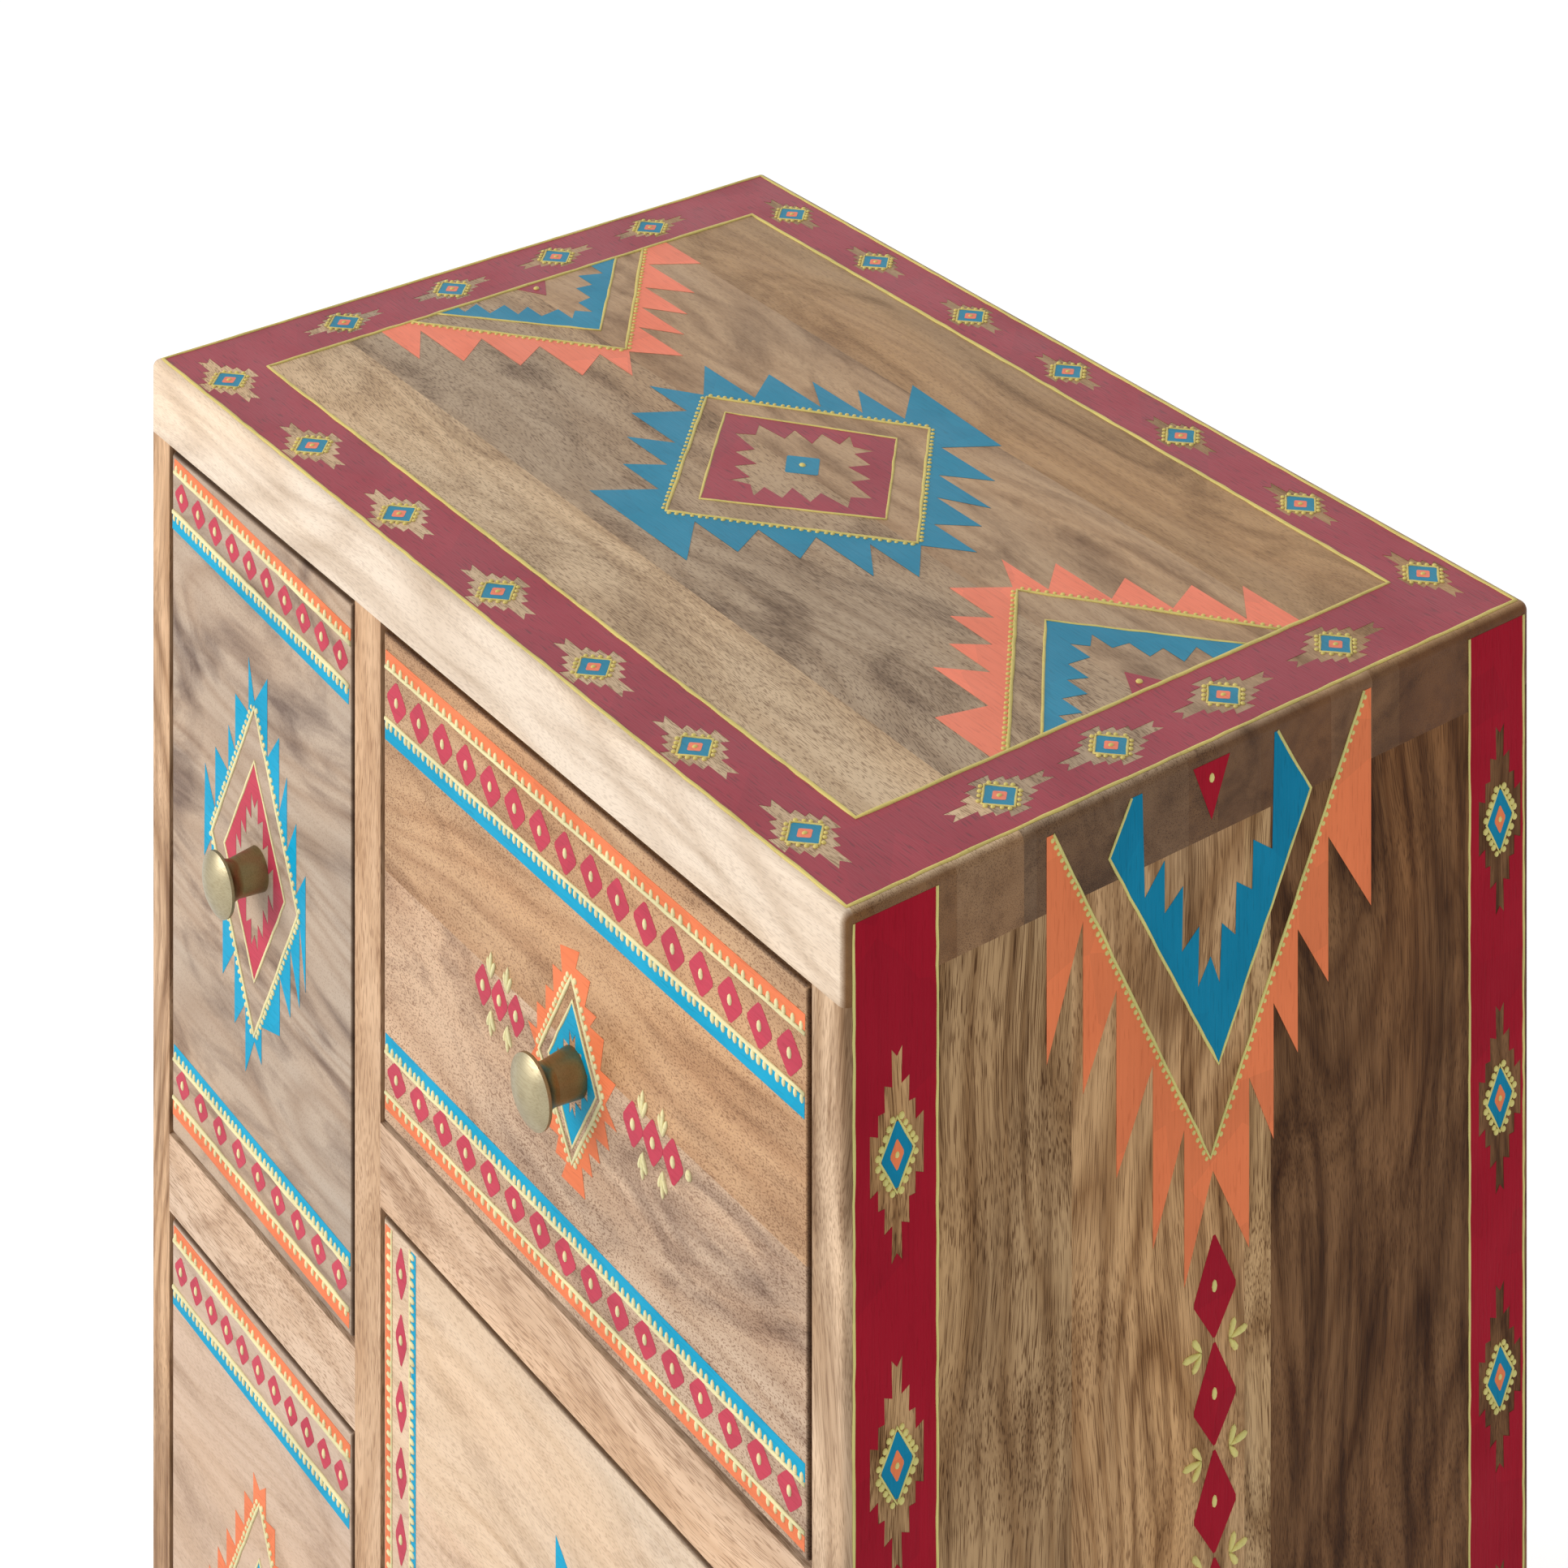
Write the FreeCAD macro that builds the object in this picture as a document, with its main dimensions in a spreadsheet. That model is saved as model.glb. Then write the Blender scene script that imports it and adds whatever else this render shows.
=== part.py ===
"""Side cabinet: two drawers on the left, one drawer over a hinged door on the right.

The cabinet stands with +Z up and its front towards -Y. The origin is on the floor, in the middle of
the box that the cabinet and its knobs fill. Every size is a cell of the sheet below, in millimetres,
and every piece is bound to those cells by formulas.
"""
import FreeCAD, Part
import Sketcher
import math
import os
from types import SimpleNamespace

doc = FreeCAD.newDocument("side_cabinet")

# Driving dimensions
SIZES = {
    # case
    "width": 450,
    "depth": 300,
    "height": 700,
    "top_thickness": 28,
    "bottom_thickness": 28,
    "side_thickness": 16,
    "partition_thickness": 18,
    "rail_thickness": 30,
    "rail_depth": 60,
    "left_column_width": 144,
    "right_drawer_opening": 179,
    "case_rounding": 3,
    "back_thickness": 6,
    "back_rebate": 8,
    "runner_width": 18,
    "runner_height": 18,
    "stop_depth": 14,
    "stop_width": 14,
    "stop_height": 16,
    # feet
    "foot_height": 74,
    "foot_top_side": 42,
    "foot_bottom_side": 30,
    "foot_inset": 8,
    "glide_radius": 10,
    "glide_thickness": 3,
    # drawers and door
    "front_thickness": 18,
    "front_gap": 2,
    "front_rounding": 1.5,
    "drawer_side_play": 3,
    "drawer_rest_play": 0.2,
    "drawer_side_thickness": 10,
    "drawer_side_lap": 9,
    "drawer_head_room": 36,
    "drawer_back_thickness": 10,
    "drawer_bottom_thickness": 5,
    "drawer_bottom_rise": 9,
    "drawer_groove_depth": 5,
    "drawer_back_room": 38,
    "batten_thickness": 12,
    "batten_height": 34,
    "batten_inset": 26,
    "batten_margin": 60,
    # knobs
    "knob_reach": 21,
    "knob_base_diameter": 16,
    "knob_neck_diameter": 14,
    "knob_neck_level": 10,
    "knob_rim_diameter": 23.5,
    "knob_rim_thickness": 1.2,
    "knob_dome": 3.6,
    "knob_bolt_radius": 2,
    "knob_bolt_grip": 12,
    "knob_bolt_head_radius": 4,
    "knob_bolt_head_thickness": 2.4,
    "door_knob_offset": 38,
    "left_knob_lift": 3.5,
    "right_knob_drop": 5.5,
    "right_knob_shift": 2.5,
    # hinges
    "hinge_length": 45,
    "hinge_margin": 48,
    "hinge_gap": 2.6,
    "hinge_leaf_thickness": 1.2,
    "hinge_leaf_depth": 15,
    "hinge_barrel_radius": 3.2,
    "hinge_barrel_stand_off": 0.4,
    "hinge_pin_radius": 1.4,
    "hinge_screw_pitch": 27,
    # door catch
    "catch_length": 40,
    "catch_height": 13,
    "catch_depth": 16,
    "catch_offset": 30,
    "magnet_length": 24,
    "magnet_height": 6,
    "magnet_depth": 9,
    "strike_thickness": 1.2,
    "strike_length": 30,
    "strike_height": 11,
    # fasteners
    "dowel_radius": 4,
    "dowel_length": 22,
    "screw_radius": 1.7,
    "screw_head_radius": 3.4,
    "screw_head_depth": 1.8,
    "hinge_screw_radius": 1.3,
    "hinge_screw_head_radius": 2.5,
    "back_screw_length": 14,
    "runner_screw_length": 28,
    "foot_screw_length": 46,
    "batten_screw_length": 24,
    "hinge_screw_length": 12,
    "catch_screw_length": 26,
    "strike_screw_length": 10,
    # fits
    "fit_play": 0.05,
    "slip_play": 0.3,
}

sheet = doc.addObject("Spreadsheet::Sheet", "Sizes")
for row, (alias, value) in enumerate(SIZES.items(), start=1):
    sheet.set(f"A{row}", alias)
    sheet.set(f"B{row}", str(value))
    sheet.setAlias(f"B{row}", alias)
doc.recompute()


class Formula:
    """A formula over the sheet's cells, written with ordinary arithmetic and kept as text."""

    def __init__(self, text):
        self.text = str(text)

    def __str__(self):
        return self.text

    def __add__(self, other):
        return Formula(f"({self} + {other})")

    def __radd__(self, other):
        return Formula(f"({other} + {self})")

    def __sub__(self, other):
        return Formula(f"({self} - {other})")

    def __rsub__(self, other):
        return Formula(f"({other} - {self})")

    def __mul__(self, other):
        return Formula(f"({self} * {other})")

    def __truediv__(self, other):
        return Formula(f"({self} / {other})")


S = SimpleNamespace(**{alias: Formula(f"Sizes.{alias}") for alias in SIZES})
ZERO = Formula("0")

# Planes that the case is set out from
LEFT = ZERO - S.width / 2
RIGHT = S.width / 2
FRONT = (S.knob_reach - S.depth) / 2
BACK = FRONT + S.depth
BACK_INSIDE = BACK - S.back_thickness
FRONT_INSIDE = FRONT + S.front_thickness
DRAWER_BACK = BACK_INSIDE - S.drawer_back_room
DECK = S.foot_height + S.bottom_thickness
CEILING = S.height - S.top_thickness
LEFT_INNER = LEFT + S.side_thickness
RIGHT_INNER = RIGHT - S.side_thickness
PARTITION_LEFT = LEFT_INNER + S.left_column_width
PARTITION_RIGHT = PARTITION_LEFT + S.partition_thickness
LEFT_RAIL_BOTTOM = (DECK + CEILING - S.rail_thickness) / 2
LEFT_RAIL_TOP = LEFT_RAIL_BOTTOM + S.rail_thickness
RIGHT_RAIL_TOP = CEILING - S.right_drawer_opening
RIGHT_RAIL_BOTTOM = RIGHT_RAIL_TOP - S.rail_thickness

TURNS = {
    "+X": FreeCAD.Rotation(FreeCAD.Vector(0, 1, 0), 90),
    "-X": FreeCAD.Rotation(FreeCAD.Vector(0, 1, 0), -90),
    "+Y": FreeCAD.Rotation(FreeCAD.Vector(1, 0, 0), -90),
    "-Y": FreeCAD.Rotation(FreeCAD.Vector(1, 0, 0), 90),
    "+Z": FreeCAD.Rotation(),
    "-Z": FreeCAD.Rotation(FreeCAD.Vector(1, 0, 0), 180),
}

HALF_TURN = FreeCAD.Rotation(FreeCAD.Vector(0, 0, 1), 180)

nodes = {}


def keep(label, piece):
    """Name a finished sub-part and list it for writing."""
    piece.Label = label
    nodes[label] = piece
    return piece


def bind(item, formulas):
    """Bind properties of an object to formulas."""
    for name, formula in formulas.items():
        item.setExpression(name, str(formula))


def place(item, point):
    """Bind an object's position to three formulas."""
    for axis, formula in zip("xyz", point):
        item.setExpression(f"Placement.Base.{axis}", str(formula))


def block(name, x, y, z):
    """A box that runs from a low to a high plane on each axis."""
    box = doc.addObject("Part::Box", name)
    bind(box, {"Length": x[1] - x[0], "Width": y[1] - y[0], "Height": z[1] - z[0]})
    place(box, (x[0], y[0], z[0]))
    return box


def rod(name, start, direction, length, radius):
    """A round rod from a start point along an axis."""
    cylinder = doc.addObject("Part::Cylinder", name)
    bind(cylinder, {"Radius": radius, "Height": length})
    cylinder.Placement = FreeCAD.Placement(FreeCAD.Vector(), TURNS[direction])
    place(cylinder, start)
    return cylinder


def united(name, pieces):
    """Several shapes as one, or the shape itself where there is only one."""
    if len(pieces) == 1:
        return pieces[0]
    union = doc.addObject("Part::MultiFuse", name)
    union.Shapes = pieces
    return union


def cut(name, base, tools):
    """A shape with other shapes taken out of it."""
    result = doc.addObject("Part::Cut", name)
    result.Base = base
    result.Tool = united(f"{name}_tools", tools)
    return result


def group(name, pieces):
    """Separate solids that share one sub-part."""
    compound = doc.addObject("Part::Compound", name)
    compound.Links = pieces
    return compound


def screw(name, head, direction, length, kind="wood", play=0):
    """A countersunk screw whose head is flush at a point, or with play the hole that it fills."""
    radius = S.hinge_screw_radius if kind == "hinge" else S.screw_radius
    head_radius = S.hinge_screw_head_radius if kind == "hinge" else S.screw_head_radius
    head_depth = S.hinge_leaf_thickness if kind == "hinge" else S.screw_head_depth
    shank = rod(f"{name}_shank", head, direction, length + play, radius + play)
    cone = doc.addObject("Part::Cone", f"{name}_head")
    bind(cone, {"Radius1": head_radius + play, "Radius2": radius + play, "Height": head_depth})
    cone.Placement = FreeCAD.Placement(FreeCAD.Vector(), TURNS[direction])
    place(cone, head)
    return united(name, [shank, cone])


def screw_set(label, heads, direction, length, kind="wood"):
    """Identical screws at a list of head points, and the holes that they fill."""
    screws = [screw(f"{label}_{i}", head, direction, length, kind) for i, head in enumerate(heads)]
    holes = [screw(f"{label}_hole_{i}", head, direction, length, kind, S.fit_play)
             for i, head in enumerate(heads)]
    return screws, holes


def dowel_set(name, middles, direction):
    """Dowels centred on points, and the holes that they fill."""
    dowels = []
    holes = []
    shift = {"X": 0, "Z": 2}[direction[1]]
    for i, middle in enumerate(middles):
        for play, made in ((0, dowels), (S.fit_play, holes)):
            start = list(middle)
            start[shift] = start[shift] - S.dowel_length / 2 - play
            made.append(rod(f"{name}_{i}_{len(made)}_{'hole' if play else 'dowel'}", start, direction,
                            S.dowel_length + (play * 2 if play else 0), S.dowel_radius + play))
    return dowels, holes


def rounded_board(name, x, y, z, radius, is_rounded):
    """A board with some of its edges rounded; is_rounded gets an edge's axis and its place."""
    body = doc.addObject("PartDesign::Body", name)
    box = body.newObject("PartDesign::AdditiveBox", f"{name}_box")
    bind(box, {"Length": x[1] - x[0], "Width": y[1] - y[0], "Height": z[1] - z[0]})
    place(box, (x[0], y[0], z[0]))
    doc.recompute()
    middle = box.Shape.BoundBox.Center
    chosen = []
    for number, edge in enumerate(box.Shape.Edges, start=1):
        along = edge.tangentAt(edge.FirstParameter)
        runs = max("XYZ", key=lambda axis: abs(getattr(along, axis.lower())))
        offset = edge.CenterOfMass - middle
        if is_rounded(runs, offset):
            chosen.append(f"Edge{number}")
    rounding = body.newObject("PartDesign::Fillet", f"{name}_rounding")
    rounding.Base = (box, chosen)
    bind(rounding, {"Radius": radius})
    body.Tip = rounding
    return body


# Case boards, before their joints are cut
DOWEL_ROWS = [FRONT + S.depth * share for share in (0.14, 0.5, 0.86)]
UPRIGHTS = {
    "left_side": LEFT + S.side_thickness / 2,
    "partition": (PARTITION_LEFT + PARTITION_RIGHT) / 2,
    "right_side": RIGHT - S.side_thickness / 2,
}

top_blank = rounded_board(
    "top_board_blank", (LEFT, RIGHT), (FRONT, BACK), (CEILING, S.height), S.case_rounding,
    lambda runs, offset: runs == "Z" or offset.z > 0)
bottom_blank = rounded_board(
    "bottom_board_blank", (LEFT, RIGHT), (FRONT, BACK), (S.foot_height, DECK), S.case_rounding,
    lambda runs, offset: runs == "Z" or offset.z < 0)
left_side_blank = rounded_board(
    "left_side_blank", (LEFT, LEFT_INNER), (FRONT, BACK), (DECK, CEILING), S.case_rounding,
    lambda runs, offset: runs == "Z" and offset.x < 0)
right_side_blank = rounded_board(
    "right_side_blank", (RIGHT_INNER, RIGHT), (FRONT, BACK), (DECK, CEILING), S.case_rounding,
    lambda runs, offset: runs == "Z" and offset.x > 0)
partition_blank = block("partition_blank", (PARTITION_LEFT, PARTITION_RIGHT), (FRONT, BACK_INSIDE),
                        (DECK, CEILING))
left_rail_blank = block("left_rail_blank", (LEFT_INNER, PARTITION_LEFT), (FRONT, FRONT + S.rail_depth),
                        (LEFT_RAIL_BOTTOM, LEFT_RAIL_TOP))
right_rail_blank = block("right_rail_blank", (PARTITION_RIGHT, RIGHT_INNER), (FRONT, FRONT + S.rail_depth),
                         (RIGHT_RAIL_BOTTOM, RIGHT_RAIL_TOP))

# Back panel, let into a rebate all round
rebate = block("back_rebate", (LEFT_INNER - S.back_rebate, RIGHT_INNER + S.back_rebate), (BACK_INSIDE, BACK),
               (DECK - S.back_rebate, CEILING + S.back_rebate))
back_blank = block(
    "back_blank",
    (LEFT_INNER - S.back_rebate + S.fit_play, RIGHT_INNER + S.back_rebate - S.fit_play),
    (BACK_INSIDE, BACK),
    (DECK - S.back_rebate + S.fit_play, CEILING + S.back_rebate - S.fit_play))
back_screw_points = []
for share in (0.12, 0.5, 0.88):
    level = DECK + (CEILING - DECK) * share
    back_screw_points.append((LEFT_INNER - S.back_rebate / 2, BACK, level))
    back_screw_points.append((RIGHT_INNER + S.back_rebate / 2, BACK, level))
    back_screw_points.append((UPRIGHTS["partition"], BACK, level))
back_screws, back_holes = screw_set("back_screws", back_screw_points, "-Y", S.back_screw_length)
keep("back_screws", group("back_screws", back_screws))
keep("back_panel", cut("back_panel", back_blank, back_holes))

# Dowels between the boards
case_dowels = []
upright_holes = {}
for upright, middle in UPRIGHTS.items():
    points = [(middle, row, level) for level in (DECK, CEILING) for row in DOWEL_ROWS]
    dowels, holes = dowel_set(f"{upright}_dowel", points, "+Z")
    case_dowels += dowels
    upright_holes[upright] = holes
keep("case_dowels", group("case_dowels", case_dowels))

RAIL_DOWEL_ROWS = [FRONT + S.rail_depth * share for share in (0.32, 0.74)]
LEFT_RAIL_MIDDLE = LEFT_RAIL_BOTTOM + S.rail_thickness / 2
RIGHT_RAIL_MIDDLE = RIGHT_RAIL_BOTTOM + S.rail_thickness / 2
rail_dowels = []
rail_holes = {}
for joint, wall, level in (
        ("left_rail_outer", LEFT_INNER, LEFT_RAIL_MIDDLE),
        ("left_rail_inner", PARTITION_LEFT, LEFT_RAIL_MIDDLE),
        ("right_rail_inner", PARTITION_RIGHT, RIGHT_RAIL_MIDDLE),
        ("right_rail_outer", RIGHT_INNER, RIGHT_RAIL_MIDDLE)):
    dowels, holes = dowel_set(joint, [(wall, row, level) for row in RAIL_DOWEL_ROWS], "+X")
    rail_dowels += dowels
    rail_holes[joint] = holes
keep("rail_dowels", group("rail_dowels", rail_dowels))

# Drawer runners, screwed to the case walls level with the rails
RUNNER_START = FRONT + S.rail_depth
RUNNER_SCREW_ROWS = [RUNNER_START + (BACK_INSIDE - RUNNER_START) * share for share in (0.2, 0.8)]
runner_screws = []
runner_holes = {}
runners = {}
for name, wall, facing, rail_top in (
        ("left_outer", LEFT_INNER, "-X", LEFT_RAIL_TOP),
        ("left_inner", PARTITION_LEFT, "+X", LEFT_RAIL_TOP),
        ("right_inner", PARTITION_RIGHT, "-X", RIGHT_RAIL_TOP),
        ("right_outer", RIGHT_INNER, "+X", RIGHT_RAIL_TOP)):
    span = (wall, wall + S.runner_width) if facing == "-X" else (wall - S.runner_width, wall)
    head_side = span[1] if facing == "-X" else span[0]
    blank = block(f"{name}_runner_blank", span, (RUNNER_START, BACK_INSIDE),
                  (rail_top - S.runner_height, rail_top))
    heads = [(head_side, row, rail_top - S.runner_height / 2) for row in RUNNER_SCREW_ROWS]
    screws, holes = screw_set(f"{name}_runner_screws", heads, facing, S.runner_screw_length)
    runner_screws += screws
    runner_holes[name] = holes
    runners[name] = cut(f"{name}_runner", blank, holes)
keep("runner_screws", group("runner_screws", runner_screws))
keep("left_drawer_runners", group("left_drawer_runners", [runners["left_outer"], runners["left_inner"]]))
keep("right_drawer_runners", group("right_drawer_runners", [runners["right_inner"], runners["right_outer"]]))

# Drawer stops, small blocks glued behind each drawer
STOP_START = DRAWER_BACK + S.slip_play
STOP_PLACES = {
    "left_upper": (LEFT_INNER, PARTITION_LEFT, LEFT_RAIL_TOP),
    "left_lower": (LEFT_INNER, PARTITION_LEFT, DECK),
    "right": (PARTITION_RIGHT, RIGHT_INNER, RIGHT_RAIL_TOP),
}
stops = []
for name, (low, high, floor) in STOP_PLACES.items():
    for side, span in (("outer", (low, low + S.stop_width)), ("inner", (high - S.stop_width, high))):
        stops.append(block(f"{name}_{side}_stop", span, (STOP_START, STOP_START + S.stop_depth),
                           (floor, floor + S.stop_height)))
keep("drawer_stops", group("drawer_stops", stops))

# Feet, square and tapered on their two inner faces, each on a glide
FOOT_TAPER = S.foot_top_side - S.foot_bottom_side
foot_screws = []
foot_holes = []
glides = []
FOOT_ROWS = (("front", FRONT + S.foot_inset, 1), ("rear", BACK - S.foot_inset, -1))
FOOT_COLUMNS = (("left", LEFT + S.foot_inset, 1), ("right", RIGHT - S.foot_inset, -1))
for depth_name, corner_y, inward_y in FOOT_ROWS:
    for side_name, corner_x, inward_x in FOOT_COLUMNS:
        label = f"{depth_name}_{side_name}_foot"
        wedge = doc.addObject("Part::Wedge", f"{label}_blank")
        low_x = (ZERO, ZERO) if inward_x > 0 else (FOOT_TAPER, ZERO)
        low_z = (FOOT_TAPER, ZERO) if inward_y > 0 else (ZERO, ZERO)
        bind(wedge, {
            "Xmin": low_x[0], "Xmax": low_x[0] + S.foot_bottom_side,
            "Zmin": low_z[0], "Zmax": low_z[0] + S.foot_bottom_side,
            "X2min": ZERO, "X2max": S.foot_top_side,
            "Z2min": ZERO, "Z2max": S.foot_top_side,
            "Ymin": ZERO, "Ymax": S.foot_height - S.glide_thickness})
        wedge.Placement = FreeCAD.Placement(FreeCAD.Vector(), TURNS["-Y"])
        left_edge = corner_x if inward_x > 0 else corner_x - S.foot_top_side
        rear_edge = corner_y + S.foot_top_side if inward_y > 0 else corner_y
        place(wedge, (left_edge, rear_edge, S.glide_thickness))
        centre = (corner_x + S.foot_bottom_side / 2 * inward_x, corner_y + S.foot_bottom_side / 2 * inward_y)
        heads = [(centre[0], centre[1] + S.foot_bottom_side * share, DECK) for share in (-0.25, 0.25)]
        screws, holes = screw_set(f"{label}_screws", heads, "-Z", S.foot_screw_length)
        foot_screws += screws
        foot_holes += holes
        keep(label, cut(label, wedge, holes))
        glides.append(rod(f"{label}_glide", (centre[0], centre[1], ZERO), "+Z",
                          S.glide_thickness, S.glide_radius))
keep("foot_screws", group("foot_screws", foot_screws))
keep("foot_glides", group("foot_glides", glides))

# Door opening and hinge axis
DOOR_LEFT = PARTITION_RIGHT + S.front_gap
DOOR_RIGHT = RIGHT_INNER - S.hinge_gap
DOOR_BOTTOM = DECK + S.front_gap
DOOR_TOP = RIGHT_RAIL_BOTTOM - S.front_gap
HINGE_X = RIGHT_INNER - S.hinge_gap / 2
HINGE_Y = FRONT - S.hinge_barrel_radius - S.hinge_barrel_stand_off
HINGE_LEVELS = {
    "upper": DOOR_TOP - S.hinge_margin - S.hinge_length,
    "lower": DOOR_BOTTOM + S.hinge_margin,
}
KNUCKLES = 5


def hinge_leaf(name, bottom, plate_x, owns, screw_holes):
    """One leaf of a butt hinge: a plate, its own knuckles, and room for the other leaf's knuckles."""
    plate = block(f"{name}_plate", plate_x, (HINGE_Y, FRONT + S.hinge_leaf_depth),
                  (bottom, bottom + S.hinge_length))
    step = S.hinge_length / KNUCKLES
    knuckles = []
    rooms = []
    for i in range(KNUCKLES):
        level = bottom + step * i
        if owns(i):
            knuckles.append(rod(f"{name}_knuckle_{i}", (HINGE_X, HINGE_Y, level + S.fit_play), "+Z",
                                step - S.fit_play * 2, S.hinge_barrel_radius))
        else:
            rooms.append(rod(f"{name}_room_{i}", (HINGE_X, HINGE_Y, level - S.fit_play), "+Z",
                             step + S.fit_play * 2, S.hinge_barrel_radius + S.slip_play))
    bore = rod(f"{name}_bore", (HINGE_X, HINGE_Y, bottom - S.slip_play), "+Z",
               S.hinge_length + S.slip_play * 2, S.hinge_pin_radius + S.fit_play)
    notched = cut(f"{name}_notched", plate, rooms + screw_holes)
    rolled = united(f"{name}_rolled", [notched] + knuckles)
    return cut(name, rolled, [bore])


# Hinges: case leaf on the side panel, door leaf on the door's edge, one pin through both
case_leaves = []
door_leaves = []
pins = []
hinge_case_screws = []
hinge_case_holes = []
hinge_door_screws = []
hinge_door_holes = []
for level_name, bottom in HINGE_LEVELS.items():
    screw_y = FRONT + S.hinge_leaf_depth * 0.55
    middle = bottom + S.hinge_length / 2
    rows = [middle + S.hinge_screw_pitch * share for share in (-0.5, 0.5)]
    case_face = RIGHT_INNER - S.hinge_leaf_thickness
    door_face = DOOR_RIGHT + S.hinge_leaf_thickness
    screws, holes = screw_set(f"{level_name}_hinge_case_screws", [(case_face, screw_y, row) for row in rows],
                              "+X", S.hinge_screw_length, "hinge")
    hinge_case_screws += screws
    hinge_case_holes += holes
    case_leaves.append(hinge_leaf(f"{level_name}_case_leaf", bottom, (case_face, RIGHT_INNER),
                                  lambda i: i % 2 == 0, holes))
    screws, holes = screw_set(f"{level_name}_hinge_door_screws", [(door_face, screw_y, row) for row in rows],
                              "-X", S.hinge_screw_length, "hinge")
    hinge_door_screws += screws
    hinge_door_holes += holes
    door_leaves.append(hinge_leaf(f"{level_name}_door_leaf", bottom, (DOOR_RIGHT, door_face),
                                  lambda i: i % 2 == 1, holes))
    pins.append(rod(f"{level_name}_pin", (HINGE_X, HINGE_Y, bottom), "+Z",
                    S.hinge_length, S.hinge_pin_radius))
keep("hinge_case_leaves", group("hinge_case_leaves", case_leaves))
keep("hinge_door_leaves", group("hinge_door_leaves", door_leaves))
keep("hinge_pins", group("hinge_pins", pins))
keep("hinge_case_screws", group("hinge_case_screws", hinge_case_screws))
keep("hinge_door_screws", group("hinge_door_screws", hinge_door_screws))

# Magnetic catch, screwed up under the right rail behind the door
STRIKE_BACK = FRONT_INSIDE + S.strike_thickness
CATCH_FRONT = STRIKE_BACK + S.drawer_rest_play
CATCH_X = (PARTITION_RIGHT + S.catch_offset, PARTITION_RIGHT + S.catch_offset + S.catch_length)
CATCH_BOTTOM = RIGHT_RAIL_BOTTOM - S.catch_height
CATCH_MIDDLE_X = CATCH_X[0] + S.catch_length / 2
CATCH_MIDDLE_Z = CATCH_BOTTOM + S.catch_height / 2
catch_heads = [(CATCH_MIDDLE_X + S.catch_length * share, CATCH_FRONT + S.catch_depth / 2, CATCH_BOTTOM)
               for share in (-0.4, 0.4)]
catch_screws, catch_holes = screw_set("catch_screws", catch_heads, "+Z", S.catch_screw_length)
keep("catch_screws", group("catch_screws", catch_screws))


def magnet_block(name, play):
    """The magnet, or with play the slot that holds it."""
    return block(name,
                 (CATCH_MIDDLE_X - S.magnet_length / 2 - play, CATCH_MIDDLE_X + S.magnet_length / 2 + play),
                 (CATCH_FRONT, CATCH_FRONT + S.magnet_depth + play),
                 (CATCH_MIDDLE_Z - S.magnet_height / 2 - play, CATCH_MIDDLE_Z + S.magnet_height / 2 + play))


catch_blank = block("catch_blank", CATCH_X, (CATCH_FRONT, CATCH_FRONT + S.catch_depth),
                    (CATCH_BOTTOM, RIGHT_RAIL_BOTTOM))
keep("catch_magnet", magnet_block("catch_magnet", ZERO))
magnet_slot = magnet_block("magnet_slot", S.fit_play)
keep("catch_housing", cut("catch_housing", catch_blank, [magnet_slot] + catch_holes))

# Case boards with their joints cut
every_upright_hole = [hole for holes in upright_holes.values() for hole in holes]
keep("top_board", cut("top_board", top_blank, [rebate] + every_upright_hole))
keep("bottom_board", cut("bottom_board", bottom_blank, [rebate] + every_upright_hole + foot_holes))
keep("left_side_panel", cut("left_side_panel", left_side_blank, [rebate] + upright_holes["left_side"]
                            + rail_holes["left_rail_outer"] + runner_holes["left_outer"] + back_holes))
keep("right_side_panel", cut("right_side_panel", right_side_blank, [rebate] + upright_holes["right_side"]
                             + rail_holes["right_rail_outer"] + runner_holes["right_outer"] + back_holes
                             + hinge_case_holes))
keep("centre_partition", cut("centre_partition", partition_blank, upright_holes["partition"]
                             + rail_holes["left_rail_inner"] + rail_holes["right_rail_inner"]
                             + runner_holes["left_inner"] + runner_holes["right_inner"] + back_holes))
keep("left_rail", cut("left_rail", left_rail_blank, rail_holes["left_rail_outer"]
                      + rail_holes["left_rail_inner"]))
keep("right_rail", cut("right_rail", right_rail_blank, rail_holes["right_rail_inner"]
                       + rail_holes["right_rail_outer"] + catch_holes))


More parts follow.
